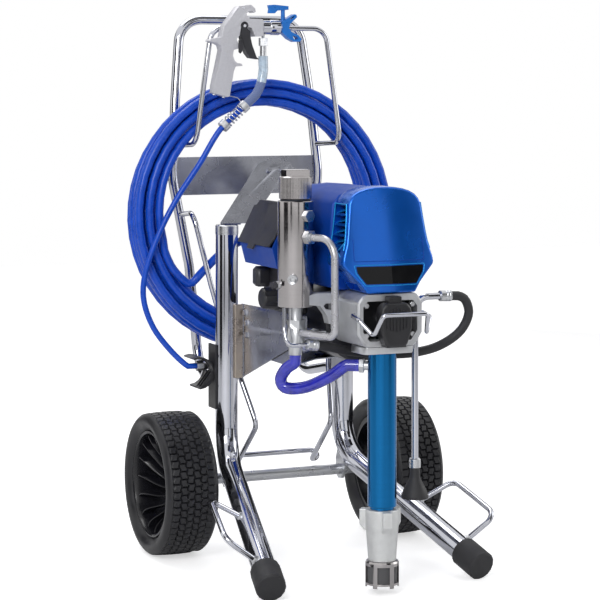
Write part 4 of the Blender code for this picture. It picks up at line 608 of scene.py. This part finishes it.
def make_tube_frame():
    tube("handle_tube", handle_path(10), HANDLE_R, "chrome", "handle_loop", detail=8)
    hang_z, rack_z, weld_in = 0.745, 0.612, Vector((0, 0.0104, 0))
    hanger = [(0.118, 0.073, 0.9718), (0.15, 0.072, 0.751), (*(handle_at(hang_z) - weld_in).xy, hang_z)]
    path = round_corners(both_sides(hanger), [0.025, 0.03, 0.03, 0.025], 10)
    tube("hanger_rod", path, ROD_R, "chrome", "hose_hanger")
    inside = LEG_X - LEG_R - ROD_R - GAP
    rack = [(*(handle_at(rack_z) - weld_in).xy, rack_z), (0.16, 0.06, 0.622), (0.129, 0.05, 0.49),
        (0.11, 0.04, 0.415), (inside + 0.0007, LEG_Y + 0.004, 0.325), (0.0755, -0.051, 0.2325),
        (0.078, 0.051, 0.14), (0.134, 0.075, 0.156)]
    bends = [0.028, 0.1, 0.05, 0.06, 0.02, 0.015, 0.012]
    left = [(-x, y, z) for x, y, z in rack]
    tube("rack_rod", round_corners(left + rack[::-1], bends + bends[::-1], 8), ROD_R, "chrome", "lower_rack")


def foot_point(side):
    """Middle of a foot's end, at the height where its round cap rests on the ground."""
    run = Vector((FOOT_X - LEG_X, FOOT_Y - LEG_Y, FOOT_Z - LEG_BEND)).normalized()
    height = FOOT_CAP_R * math.sqrt(1 - run.z ** 2) + 0.003 * run.z - 0.0011
    return Vector((side * FOOT_X, FOOT_Y, height))


def make_legs():
    """Bent leg tubes with upright caps, axle plates, foot loops and weld collars."""
    cap = [(0.0, 0.012), (0.0196, 0.012), (0.0216, 0.01), (0.0216, -0.006), (0.0, -0.006)]
    plate = [(-0.034, 0.15), (-0.024, 0.178), (0.004, 0.178), (0.016, 0.15), (0.016, 0.122), (0.006, 0.112),
        (-0.01, 0.114)]
    collar = [(0.0052, 0.026), (0.0072, 0.022), (0.0085, 0.018)]
    for side, name in ((-1, "leg_left"), (1, "leg_right")):
        corner = Vector((side * (LEG_X + 0.001), LEG_Y - 0.001, LEG_BEND))
        run = (foot_point(side) - corner).normalized()
        end = foot_point(side) - run * 0.01
        top = Vector((side * LEG_X, LEG_Y, UPRIGHT_TOP))
        tube(name + "_pipe", round_corners([top, corner, end], 0.085, 20), LEG_R, "chrome", name, detail=10)
        turned(name + "_cap", cap, "zinc", name, top, edge=0.0004)
        slab(name + "_plate", plate, 0.006, "zinc", facing_side(side * LEG_X), name, edge=0.0008)
        at = [corner + run * ((y - corner.y) / run.y) for y in (-0.215, -0.352)]
        loop = [at[0], (side * 0.238, -0.2366, 0.1394), (side * 0.2586, -0.3595, 0.098), at[1]]
        tube(name + "_loop", round_corners(loop, 0.022, 8), ROD_R, "chrome", name)
        for spot, ahead in zip(at, loop[1:3]):
            out = (Vector(ahead) - spot).normalized()
            turned(f"{name}_weld_{len(bpy.data.objects)}", collar, "zinc", name, spot, out, steps=24)


def make_sheets():
    heights = (0.722, 0.702, 0.683, 0.665, 0.648)
    outline = mirrored([(handle_at(z).x - HANDLE_R - GAP, z) for z in heights])
    slab("band", outline, 0.0025, "sheet", facing_front(handle_at(heights[2]).y), "back_band", edge=0.0006)
    for name in ("gable_plate", "side_plate_left", "side_plate_right", "motor_shelf"):
        dress(name, "sheet", edge=0.0005)


# -------------------- wheels
WHEEL_R = 0.13
WHEEL_X = 0.227
BLOCKS = 58                     # tread blocks round the tyre
BLOCK_STEPS = 8                 # points along one block
TREAD_ROWS = 6
TREAD_HALF = 0.0385             # half the tread's width
TREAD_DEPTH = 0.0031
TREAD_CROWN = 0.0016
TREAD_WAVE = 0.0011             # sideways wave of the grooves that run round the tyre
TREAD_SWING = 0.0065            # radians by which the cross grooves swing
SPOKES = 15
SPOKE_ENDS = (0.0885, 0.0195)
SPOKE_SWEEP, SPOKE_BOW = 0.62, 0.1
SPOKE_FACE, SPOKE_DIP, SPOKE_DEPTH = 0.0345, 0.047, 0.02
SPOKE_HALF = 0.0012
SPOKE_STEPS = 12


def wheel_point(side, radius, angle, out):
    """World point of a wheel from its radius, angle and distance outwards from its mid-plane."""
    at = (side * (WHEEL_X + out), radius * math.cos(angle), WHEEL_R + radius * math.sin(angle))
    return Vector(at) + AXLE


def tread_columns():
    """Places across the tread, with the depth share of the groove that runs round the tyre there."""
    width = 2 * TREAD_HALF / TREAD_ROWS
    columns = []
    for row in range(TREAD_ROWS):
        left = -TREAD_HALF + row * width
        for share, weight in ((0.0, 1.0), (0.14, 0.0), (0.5, 0.0), (0.86, 0.0)):
            columns.append((left + share * width, weight if row else 0.4, row))
    columns.append((TREAD_HALF, 0.4, TREAD_ROWS - 1))
    return columns


def make_tyre(side, name):
    """Tyre with staggered, wavy turf blocks."""
    shape = bmesh.new()
    around = BLOCKS * BLOCK_STEPS
    wall = [(0.0975, 0.0372), (0.101, 0.0425), (0.1055, 0.0468), (0.111, 0.0493), (0.1165, 0.0498),
        (0.1215, 0.0482), (0.1255, 0.045), (0.128, 0.0415)]
    rings = []
    for i in range(around):
        angle = 2 * math.pi * i / around
        places = [(r, angle, x) for r, x in wall]
        for x, weight, row in tread_columns()[::-1]:
            cross = 1.0 if (i + BLOCK_STEPS // 2 * (row % 2)) % BLOCK_STEPS == 0 else 0.0
            crown = TREAD_CROWN * (x / TREAD_HALF) ** 2
            wave = TREAD_WAVE * math.sin(2 * math.pi * i / BLOCK_STEPS)
            swing = TREAD_SWING * math.sin(2 * math.pi * x / 0.0257)
            places.append((WHEEL_R - crown - TREAD_DEPTH * max(weight, cross), angle + swing, x + wave))
        places += [(r, angle, -x) for r, x in wall[::-1]]
        rings.append(ring_of(shape, [wheel_point(side, *place) for place in places]))
    for here, there in zip(rings, rings[1:] + rings[:1]):
        bridge(shape, here, there)
    piece(shape, name + "_tread", 28, "tyre", name)


def make_rim(side, name):
    """Deep moulded rim: barrel with a rolled lip, recessed hub and swept fins."""
    axis = (side, 0, 0)
    centre = (side * WHEEL_X, 0, WHEEL_R)
    barrel = [(0.0965, 0.0372), (0.0975, 0.0392), (0.0962, 0.0408), (0.0935, 0.041), (0.0915, 0.0395),
        (0.0895, 0.034), (0.0875, 0.01), (0.086, -0.038), (0.0955, -0.038), (0.0965, -0.036)]
    turned(name + "_barrel", barrel, "black", name, centre, axis, steps=96, ring=True, look="rim_black")
    hub = [(0.0075, -0.008), (0.019, -0.008), (0.0215, -0.01), (0.023, -0.038), (0.02, -0.0455),
        (0.0083, -0.0455), (0.0083, -0.009)]
    turned(name + "_hub", hub, "black", name, centre, axis, ring=True, look="rim_black")
    shape = bmesh.new()
    outside, inside = SPOKE_ENDS
    for k in range(SPOKES):
        base = 2 * math.pi * k / SPOKES
        rings = []
        for i in range(SPOKE_STEPS + 1):
            t = i / SPOKE_STEPS
            radius = outside + (inside - outside) * t
            angle = base + side * (SPOKE_SWEEP * ease(t) - SPOKE_BOW * math.sin(math.pi * t))
            face = SPOKE_FACE - SPOKE_DIP * ease(t)
            thick = SPOKE_HALF / radius
            section = ((-1, face - 0.0006), (0, face), (1, face - 0.0006), (1.5, face - SPOKE_DEPTH),
                (-1.5, face - SPOKE_DEPTH))
            row = [wheel_point(side, radius, angle + s * thick, x) for s, x in section]
            rings.append(ring_of(shape, row))
        for low, high in zip(rings, rings[1:]):
            bridge(shape, low, high)
        shape.faces.new(rings[0][::-1])
        shape.faces.new(rings[-1])
    piece(shape, name + "_spokes", 50, "black", name, "rim_black")


def make_wheels():
    for side, word in SIDES:
        make_tyre(side, "tyre_" + word)
        make_rim(side, "rim_" + word)
    end = WHEEL_X - 0.004
    half = [(0.0, end + 0.002), (0.009, end + 0.0015), (0.014, end - 0.001), (0.015, end - 0.0035),
        (0.008, end - 0.0035), (0.008, WHEEL_X - 0.047), (0.01, WHEEL_X - 0.0475)]
    profile = half + [(r, -x) for r, x in half[::-1]]
    turned("axle_rod", profile, "zinc", "axle", (0, 0, WHEEL_R), (1, 0, 0))


# -------------------- motor cover
COVER_FRONT, COVER_BACK = -0.455, -0.388
COVER_LEVEL = 0.56              # height at which COVER_FRONT holds
COVER_LEAN = 0.16
COVER_CREASE = 0.01
COVER_HALF = [(0.0, 0.6915), (0.018, 0.691), (0.034, 0.6885), (0.047, 0.6845), (0.057, 0.679),
    (0.0635, 0.672), (0.0675, 0.664), (0.07, 0.645), (0.0735, 0.617), (0.0765, 0.598), (0.08, 0.586),
    (0.0842, 0.5735), (0.0855, 0.564), (0.0838, 0.559), (0.0683, 0.543), (0.056, 0.53), (0.0455, 0.515),
    (0.043, 0.5137), (0.0, 0.5137)]
VENTS = [0.6535 - 0.0172 * k for k in range(4)] # heights of the four side vents
VENT_HALF = 0.0066
VENT_BACK = COVER_BACK - 0.002


def front_at(z):
    return COVER_FRONT + COVER_LEAN * (z - COVER_LEVEL)


def cover_face(x, z, out=0.0):
    """Point on the creased front of the cover."""
    return Vector((x, front_at(z) - COVER_CREASE * (1 - abs(x) / 0.1) - out, z))


def side_wall(side, x, z, depth, inset):
    """Point on the cover's side wall, from an inset behind its front (depth 0) to the vents' back (1)."""
    near = front_at(z) + inset
    return side * x, near + (VENT_BACK - near) * depth, z


def carve(item, cutters):
    """Cut shapes out of a piece for good, and drop the cutters."""
    for cutter in cutters:
        step = item.modifiers.new("cut", 'BOOLEAN')
        step.operation = 'DIFFERENCE'
        step.object = cutter
    bpy.context.view_layer.update()
    mesh = bpy.data.meshes.new_from_object(item.evaluated_get(bpy.context.evaluated_depsgraph_get()))
    item.modifiers.clear()
    item.data = mesh
    for cutter in cutters:
        bpy.data.objects.remove(cutter, do_unlink=True)


def cutter_box(side, inner, y0, y1, z0, z1):
    """A box that opens the cover's side, from inside it to beyond its widest point."""
    x0, x1 = sorted((side * inner, side * 0.1))
    low, high = Vector((x0, y0, z0)) + AXLE, Vector((x1, y1, z1)) + AXLE
    shape = bmesh.new()
    bmesh.ops.create_cube(shape, size=1.0)
    matrix = Matrix.Translation((low + high) / 2) @ Matrix.Diagonal((*(high - low), 1))
    bmesh.ops.transform(shape, matrix=matrix, verts=shape.verts)
    made = bpy.data.objects.new("cutter", mesh_of(shape, "cutter", outward=False))
    bpy.context.scene.collection.objects.link(made)
    return made


def make_cover_shell():
    """Front moulding: creased face, rounded rim and side vents."""
    outline = mirrored(COVER_HALF)
    half = len(COVER_HALF)
    shape = bmesh.new()
    front = ring_of(shape, [cover_face(x, z) + AXLE for x, z in outline])
    back = ring_of(shape, [Vector((x, COVER_BACK, z)) + AXLE for x, z in outline])
    bridge(shape, front, back)
    shape.faces.new(back)
    shape.faces.new(front[:half][::-1])
    shape.faces.new([front[0], front[half - 1], *front[half:]][::-1])
    item = piece(shape, "cover_shell", None, "blue", "motor_cover")
    soften(item, 0.0042, 3, 50).modifiers["edge"].harden_normals = False
    low_openings = ((-0.433, -0.401, 0.57, 0.5845), (-0.43, -0.406, 0.548, 0.562),
        (-0.445, -0.4, 0.517, 0.529))
    cutters = []
    for side in (-1, 1):
        for z in VENTS:
            cutters.append(cutter_box(side, 0.05, front_at(z) + 0.003, COVER_BACK - 0.0022, z - VENT_HALF,
                z + VENT_HALF))
        cutters += [cutter_box(side, 0.04, *opening) for opening in low_openings]
    carve(item, cutters)
    smooth(item.data, 32)
    soften(item, 0.0005, 2, 45)


def line_on_cover(name, points, radius, look=None):
    path = []
    for (x0, z0), (x1, z1) in zip(points, points[1:]):
        path += [cover_face(x0 + (x1 - x0) * k / 8, z0 + (z1 - z0) * k / 8) for k in range(8)]
    path.append(cover_face(*points[-1]))
    tube(name, path, radius, "blue" if look else "side_blue", "motor_cover", detail=3, look=look)


def make_vents(side, word):
    """Blades and frame of the vents on one side, painted lighter blue as a highlight, and a near-black plate
    behind them as painted shade.
    """
    x0, x1 = sorted((side * 0.05, side * 0.0525))
    # Near-black plate inside the cover behind the vent slots: painted shade.
    block(f"vent_shade_plate_{word}", (x0, -0.433, 0.594), (x1, COVER_BACK - 0.0022, 0.664), "black", "motor_cover",
        edge=0.0, look="painted_shade")
    wide = 0.0075
    for k, z in enumerate(VENTS):
        front = front_at(z) + 0.0028
        deep = (VENT_BACK - front) / 2
        tilt = (Matrix.Translation((side * (0.0668 + 0.0022 * k - wide), (front + VENT_BACK) / 2, z))
            @ Matrix.Rotation(math.radians(-9), 4, 'X') @ Matrix.Rotation(side * math.radians(24), 4, 'Y'))
        slab(f"vent_blade_{word}_{k}", [(-wide, -deep), (wide, -deep), (wide, deep), (-wide, deep)], 0.0014,
            "side_blue", tilt, "motor_cover", edge=0.0003, look="painted_highlight_blue")
    shoulder = [(0.0694, 0.664), (0.0711, 0.645), (0.0744, 0.617), (0.0774, 0.598), (0.0809, 0.586)]
    for depth, label in ((0.0, "front"), (1.0, "back")):
        path = smooth_route([side_wall(side, x, z, depth, 0.003) for x, z in shoulder], 0.004)
        tube(f"vent_rail_{word}_{label}", path, 0.0013, "blue", "motor_cover", detail=3, look="painted_highlight_blue")
    top, knee = (0.0692, 0.6625), (0.0775, 0.5985)
    bars = (((*top, 0.0), (*top, 1.0)), ((*knee, 1.0), (0.0835, 0.5745, 0.12)),
        ((0.0835, 0.5745, 0.12), (0.0818, 0.5555, 0.75)), ((*knee, 0.0), (0.0818, 0.566, 0.9)))
    for k, ends in enumerate(bars):
        path = [side_wall(side, *end, 0.0045) for end in ends]
        tube(f"vent_bar_{word}_{k}", path, 0.0012, "blue", "motor_cover", detail=3, look="painted_highlight_blue")


def make_cover_trim():
    """Vents, inset plate with its lip, and the panel line."""
    for side, word in SIDES:
        make_vents(side, word)
    proud, sunk, top, foot = 0.0008, -0.0015, 0.559, 0.5292
    outline = mirrored([(-0.061, top), (-0.0625, 0.5575), (-0.0605, 0.548), (-0.047, 0.53), (-0.045, foot)])
    half = len(outline) // 2
    shape = bmesh.new()
    face, back = [ring_of(shape, [cover_face(x, z, out) + AXLE for x, z in outline]) for out in (proud, sunk)]
    bridge(shape, face, back)
    high, low = ring_of(shape, [cover_face(0, z, proud) + AXLE for z in (top, foot)])
    shape.faces.new([*face[:half], low, high])
    shape.faces.new([*face[half:], high, low])
    shape.faces.new(back)
    bmesh.ops.remove_doubles(shape, verts=shape.verts, dist=1e-6)
    piece(shape, "cover_plate", 3, "black", "motor_cover", "gloss_black")
    # The lip round the plate is drawn in the lighter blue as a painted highlight along its edge.
    lip = mirrored([(-0.0645, 0.5612), (-0.0655, 0.5585), (-0.0632, 0.5475), (-0.0485, 0.528),
        (-0.046, 0.5268)])
    line_on_cover("cover_lip", [*lip, lip[0]], 0.0007, "painted_highlight_blue")
    panel = mirrored([(-0.0655, 0.606), (-0.065, 0.569), (-0.064, 0.5675)])
    line_on_cover("panel_line", panel, 0.0006)


# -------------------- drive, pump and filter
WELL_BACK = -0.429              # floor of the open well in the drive housing
HOOK_PIVOT = (-0.45, 0.477)
ROD_COVER_BACK = -0.4626


def make_drive():
    """Drive housing with the bolts in its open well, and the ribbed cover over the pump rod."""
    dress("drive_housing", "cast", edge=0.0008)
    block("well_lining", (-0.047, WELL_BACK - 0.001, 0.436), (0.047, WELL_BACK + 0.0005, 0.499), "black",
        "drive_housing", edge=0.0)
    for side in (-1, 1):
        x = side * 0.043
        for z in (0.4925, 0.442):
            mark = f"{side}_{int(z * 1e4)}"
            rod(f"boss_{mark}", (x, WELL_BACK, z), (x, -0.456, z), 0.0062, "black", "drive_housing")
            hexagon(f"boss_bolt_{mark}", (x, -0.4555, z), (0, -1, 0), 0.008, 0.0045, "zinc", "drive_housing")
        rod(f"hook_ear_{side}", (side * 0.0585, *HOOK_PIVOT), (side * 0.06, *HOOK_PIVOT), 0.0085, "cast",
            "drive_housing")
    outline = mirrored([(0.02, 0.4985), (0.0275, 0.49), (0.029, 0.48), (0.029, 0.456), (0.0255, 0.442),
        (0.0205, 0.429), (0.0165, 0.4235)])
    depth = 0.026
    slab("rod_cover_shell", outline, depth, "black", facing_front(ROD_COVER_BACK - depth / 2), "rod_cover",
        edge=0.0055, segments=4)
    for k in range(7):
        x = -0.0186 + 0.0062 * k
        tall = 0.02 - abs(x) * 0.3
        low, high = (x - 0.0011, -0.4905, 0.47 - tall), (x + 0.0011, -0.48, 0.47 + tall)
        block(f"rod_cover_rib_{k}", low, high, "black", "rod_cover", edge=0.0005)
    block("rod_cover_neck", (-0.012, -0.482, 0.496), (0.012, -0.464, 0.509), "black", "rod_cover", edge=0.002)
    block("rod_cover_foot", (-0.0185, -0.486, 0.4235), (0.0185, -0.464, 0.429), "black", "rod_cover",
        edge=0.001)


def make_pail_hook():
    half = [(0.041, -0.5205, 0.4825), (0.049, -0.499, 0.446), (0.0665, -0.478, 0.472), (0.0665, *HOOK_PIVOT),
        (0.0608, *HOOK_PIVOT)]
    bends = [0.008, 0.006, 0.01, 0.004]
    tube("hook_wire", round_corners(both_sides(half), bends[::-1] + bends, 8), 0.0037, "chrome", "pail_hook")


def make_knurl(name, radius, low, high, grooves, depth):
    """The knurled barrel of the filter's cap."""
    steps = grooves * 4
    shape = bmesh.new()
    rings = []
    for inset, z in ((0.002, high), (0.0, high - 0.0018), (0.0, low + 0.0018), (0.0025, low)):
        ring = []
        for k in range(steps):
            r = radius - inset - (depth if k % 4 == 0 and not inset else 0.0)
            angle = 2 * math.pi * k / steps
            at = (FILTER_XY[0] + r * math.cos(angle), FILTER_XY[1] + r * math.sin(angle), z)
            ring.append(shape.verts.new(Vector(at) + AXLE))
        rings.append(ring)
    for upper, lower in zip(rings, rings[1:]):
        bridge(shape, upper, lower)
    shape.faces.new(rings[0])
    shape.faces.new(rings[-1][::-1])
    piece(shape, name, 30, "stainless", "filter_cap")


def towards(angle):
    return Vector((math.cos(math.radians(angle)), math.sin(math.radians(angle)), 0))


def on_filter(angle, z, out=GAP):
    return Vector((*FILTER_XY, z)) + towards(angle) * (FILTER_R + out)


def make_filter():
    """Filter column with its cap, plug, side port and the drain lever's boss."""
    start = (*FILTER_XY, 0)
    body = [(0.0, 0.668), (0.0258, 0.668), (0.0258, 0.6662), (0.03, 0.6658), (FILTER_R, 0.6648),
        (FILTER_R, 0.487), (0.03, 0.4848), (0.0278, FILTER_FOOT), (0.0, FILTER_FOOT)]
    turned("filter_tube", body, "stainless", "filter_body", start, steps=96)
    make_knurl("filter_cap_knurl", 0.0283, 0.6683, 0.708, 60, 0.0003)
    x, y = FILTER_XY
    block("filter_key", (x - 0.022, y - 0.012, 0.707), (x + 0.022, y + 0.012, 0.7193), "stainless",
        "filter_cap", edge=0.0009)
    neck = [(0.0262, 0.67), (0.0262, 0.664)]
    # Near-black ring in the gap between body and cap: painted shade.
    turned("filter_neck", neck, "black", "filter_body", start, look="painted_shade")
    hexagon("gauge_plug", on_filter(OUTLET_ANGLE, 0.641, -0.004), towards(OUTLET_ANGLE), 0.019, 0.013, "zinc",
        "filter_body")
    port = [(0.0, 0.0048), (0.0035, 0.0048), (0.0042, 0.007), (0.0078, 0.0086), (0.0086, 0.008),
        (0.0088, 0.0)]
    turned("side_port", port, "zinc", "filter_body", on_filter(-122, 0.533, -0.004), towards(-122), steps=40)
    rod("prime_boss", on_filter(179, 0.522, -0.004), on_filter(179, 0.522, 0.005), 0.007, "zinc",
        "filter_body")


def ferrule(name, start, run, length, node_name):
    """Crimped ferrule with its rolled grooves."""
    profile = [(0.0, length), (0.008, length), (0.0095, length - 0.0015), (0.0095, 0.011), (0.0088, 0.01),
        (0.0095, 0.009), (0.0095, 0.006), (0.0088, 0.005), (0.0095, 0.004), (0.0095, 0.0006), (0.009, 0.0),
        (0.0, 0.0)]
    turned(name, profile, "zinc", node_name, start, run, steps=40)


def make_outlet_pipe():
    stack_z = 0.4405
    out = towards(OUTLET_ANGLE)
    shoulder = on_filter(OUTLET_ANGLE, OUTLET_Z, 0.1035 - FILTER_R)
    foot = Vector((*shoulder.xy, stack_z))
    stack = Vector((*FILTER_XY, stack_z))
    end = stack + (foot - stack).normalized() * (0.016 + GAP)
    path = round_corners([on_filter(OUTLET_ANGLE, OUTLET_Z, 0.012), shoulder, foot, end], [0.034, 0.014], 14)
    tube("white_pipe", path, 0.0064, "white", "outlet_pipe", detail=8)
    hexagon("pipe_nut", on_filter(OUTLET_ANGLE, OUTLET_Z), out, 0.022, 0.012, "zinc", "outlet_pipe")
    rod("pipe_sleeve", on_filter(OUTLET_ANGLE, OUTLET_Z, 0.011), on_filter(OUTLET_ANGLE, OUTLET_Z, 0.0165),
        0.0088, "zinc", "outlet_pipe")


def make_inlet_hose():
    """Clear hose from the pump's inlet up to the block below the filter."""
    out = towards(INLET_ANGLE)
    first = Vector((0, PUMP_Y, INLET_Z)) + out * (SLEEVE_R + 0.0145 + GAP)
    block_low = FILTER_FOOT - 0.022 - 0.0135 - 0.0009 - 0.031
    low = Vector((*FILTER_XY, block_low - GAP - 0.015))
    route = [first, first + out * 0.021, (-0.074, -0.379, 0.366), (-0.104, -0.345, 0.345),
        (-0.13, -0.318, 0.341), (-0.139, -0.314, 0.356), (-0.134, -0.328, 0.376), low - Vector((0, 0, 0.012)),
        low]
    tube("clear_hose", smooth_route(route, 0.006), 0.0105, "clear_blue", "inlet_hose", detail=8)


def make_return_line():
    """Black hose with a ferrule at each end, its thin pipe to the filter and its drop pipe."""
    route = smooth_route([(-0.0925, -0.3665, 0.418), (-0.0725, -0.3665, 0.415), (-0.03, -0.37, 0.405),
        (0.02, -0.378, 0.4), (0.07, -0.388, 0.399), (0.12, -0.398, 0.409), (0.158, -0.408, 0.433),
        (0.174, -0.414, 0.464), (0.166, -0.418, 0.49), (0.15, -0.42, 0.4985), (0.136, -0.42, 0.499)], 0.007)
    tube("black_hose", route, 0.008, "rubber", "return_hose", detail=8)
    turn = (route[0] - route[1]).normalized()
    left = route[0] + turn * GAP
    ferrule("ferrule_left", left, turn, 0.02, "bypass_pipe")
    x, y = FILTER_XY[0] - 0.0243, FILTER_XY[1] - 0.007
    path = [(x, y, 0.4837), (x, y, 0.45), (x, left.y + 0.002, 0.4195), left + turn * 0.015]
    tube("thin_pipe", round_corners(path, [0.012, 0.014], 8), 0.0035, "chrome", "bypass_pipe")
    turn = (route[-1] - route[-2]).normalized()
    right = route[-1] + turn * GAP
    ferrule("ferrule_right", right, turn, 0.022, "return_tube")
    x, y = 0.0605 + GAP + 0.006, -0.42
    drop = [right + turn * 0.018, (x, y, right.z + 0.022 * turn.z), (x, y, 0.2187)]
    tube("drop_pipe", round_corners(drop, 0.026, 12), 0.006, "chrome", "return_tube", detail=8)
    nut = [(0.0, 0.2227), (0.0085, 0.2227), (0.01, 0.2212), (0.01, 0.2067), (0.0, 0.2067)]
    turned("drop_nut", nut, "zinc", "return_tube", (x, y, 0), edge=0.0004)
    z = 0.2064
    cone = [(0.0, z), (0.008, z), (0.0086, z - 0.001), (0.0088, z - 0.014), (0.0105, z - 0.02),
        (0.02, z - 0.038), (0.0232, z - 0.046), (0.0236, z - 0.05), (0.0228, z - 0.052), (0.0, z - 0.046)]
    turned("drop_cone", cone, "rubber", "return_cone", (x, y, 0))


def make_pump():
    """Pump sleeve with its inlet port, the intake housing with three lugs, and the strainer's screen."""
    axis = (0, PUMP_Y, 0)
    sleeve = [(SLEEVE_R - 0.001, 0.4095), (SLEEVE_R, 0.4085), (SLEEVE_R, 0.1485), (SLEEVE_R - 0.001, 0.1475),
        (0.0205, 0.1475), (0.0205, 0.143), (0.012, 0.143), (0.012, 0.3945), (0.0084, 0.3955),
        (0.0084, 0.4095)]
    turned("sleeve_tube", sleeve, "sleeve", "pump_sleeve", axis, steps=96, ring=True)
    out = towards(INLET_ANGLE)
    at = Vector((0, PUMP_Y, INLET_Z)) + out * (SLEEVE_R + GAP)
    rod("port_neck", at - out * 0.004, at + out * 0.007, 0.008, "zinc", "pump_sleeve")
    hexagon("port_nut", at + out * 0.006, out, 0.023, 0.0082, "zinc", "pump_sleeve")
    body = [(0.0, 0.1427), (0.0275, 0.1427), (0.0285, 0.1417), (0.0285, 0.1135), (0.028, 0.112),
        (0.024, 0.06), (0.0235, 0.056), (0.0, 0.056)]
    turned("intake_body", body, "cast", "intake_housing", axis, edge=0.0004, look="pale_cast")
    lug = [(0.02, 0.106), (0.03, 0.106), (0.0385, 0.116), (0.0385, 0.1422), (0.02, 0.1422)]
    for angle in (20, 140, 260):
        turn = (Matrix.Translation(axis) @ Matrix.Rotation(math.radians(angle), 4, 'Z')
            @ Matrix.Rotation(math.pi / 2, 4, 'X'))
        slab(f"intake_lug_{angle}", lug, 0.017, "cast", turn, "intake_housing", edge=0.0022, segments=3,
            look="pale_cast")
    dress("strainer_screen", "zinc", edge=0.0, look="screen_mesh")


# -------------------- gun and side plates
def make_gun():
    """Blasted gun body with rounded grip, studs and the wire that holds the hose off the grip."""
    soften(dress("gun_body", "cast", edge=0.0, look="blasted"), 0.0042, 4, 50)
    for k, (x, z) in enumerate(((-57.0, -127.5), (-38.0, -132.5))):
        rod(f"grip_stud_{k}", gun_point(x, z), gun_point(x - 0.8, z - 4.0), 0.0032, "zinc", "gun_body")
    for k, (x, z) in enumerate(((0.0, 0.0), (-2.0, 34.0))):
        rod(f"gun_pin_{k}", gun_point(x, z, -13.2), gun_point(x, z, -12.0), 0.003, "chrome", "gun_body")
    wire = [gun_point(-33.0, -131.0), gun_point(-25.0, -133.5), gun_point(-11.0, -136.5),
        gun_point(-5.5, -141.0), gun_point(0.5, -151.0, -3)]
    tube("hose_bail", smooth_route(wire, 0.003), 0.0009, "chrome", "hose_collar_top")


def make_plate_trim():
    """Yellow-passivated saddle strip, bolts and washers of the two side plates."""
    outer, inner = 0.0935, 0.0905
    washer = [(0.0, 0.0011), (0.0075, 0.0011), (0.0078, 0.0)]
    for side, word in SIDES:
        plate = f"side_plate_{word}"
        low, high = sorted((side * 0.0945, side * 0.1112))
        block(f"saddle_{word}", (low, -0.0295, 0.319), (high, -0.0245, 0.456), "sheet", plate, edge=0.002,
            look="gold_zinc")
        for k, (y, z) in enumerate(((-0.04, 0.4407), (-0.047, 0.4225), (-0.047, 0.4005))):
            for face, label, x in ((1, "out", outer), (-1, "in", inner)):
                turned(f"plate_washer_{word}_{k}_{label}", washer, "zinc", plate, (side * x, y, z),
                    (side * face, 0, 0), steps=32)
            hexagon(f"plate_nut_{word}_{k}", (side * (inner - 0.0007), y, z), (-side, 0, 0), 0.01, 0.0055,
                "zinc", plate)


# -------------------- everything
EDGES = {"tool_box": 0.001, "control_housing": 0.0008, "motor_housing": 0.0015, "clamp_plate": 0.0008,
    "tip_guard": 0.0007, "pressure_knob": 0.0006, "hose_cradle": 0.0006}


def dress_the_rest():
    """Every solid that has no piece of its own above keeps its form."""
    done = {name for item in bpy.data.objects for name in item.get("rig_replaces", [])}
    for item in frame["record"]["subparts"]:
        if item["node"] not in done:
            dress(item["node"], item["material_slot"], EDGES.get(item["node"], 0.0004))


bpy.context.scene.view_settings.view_transform = 'Standard'
for make in (set_camera, make_main_hose, make_whip_hose, make_tube_frame, make_legs, make_sheets, make_wheels,
        make_cover_shell, make_cover_trim, make_drive, make_filter, make_outlet_pipe, make_inlet_hose,
        make_return_line, make_pump, make_gun, make_plate_trim, make_pail_hook, dress_the_rest, set_world,
        set_floor, set_lights):
    make()
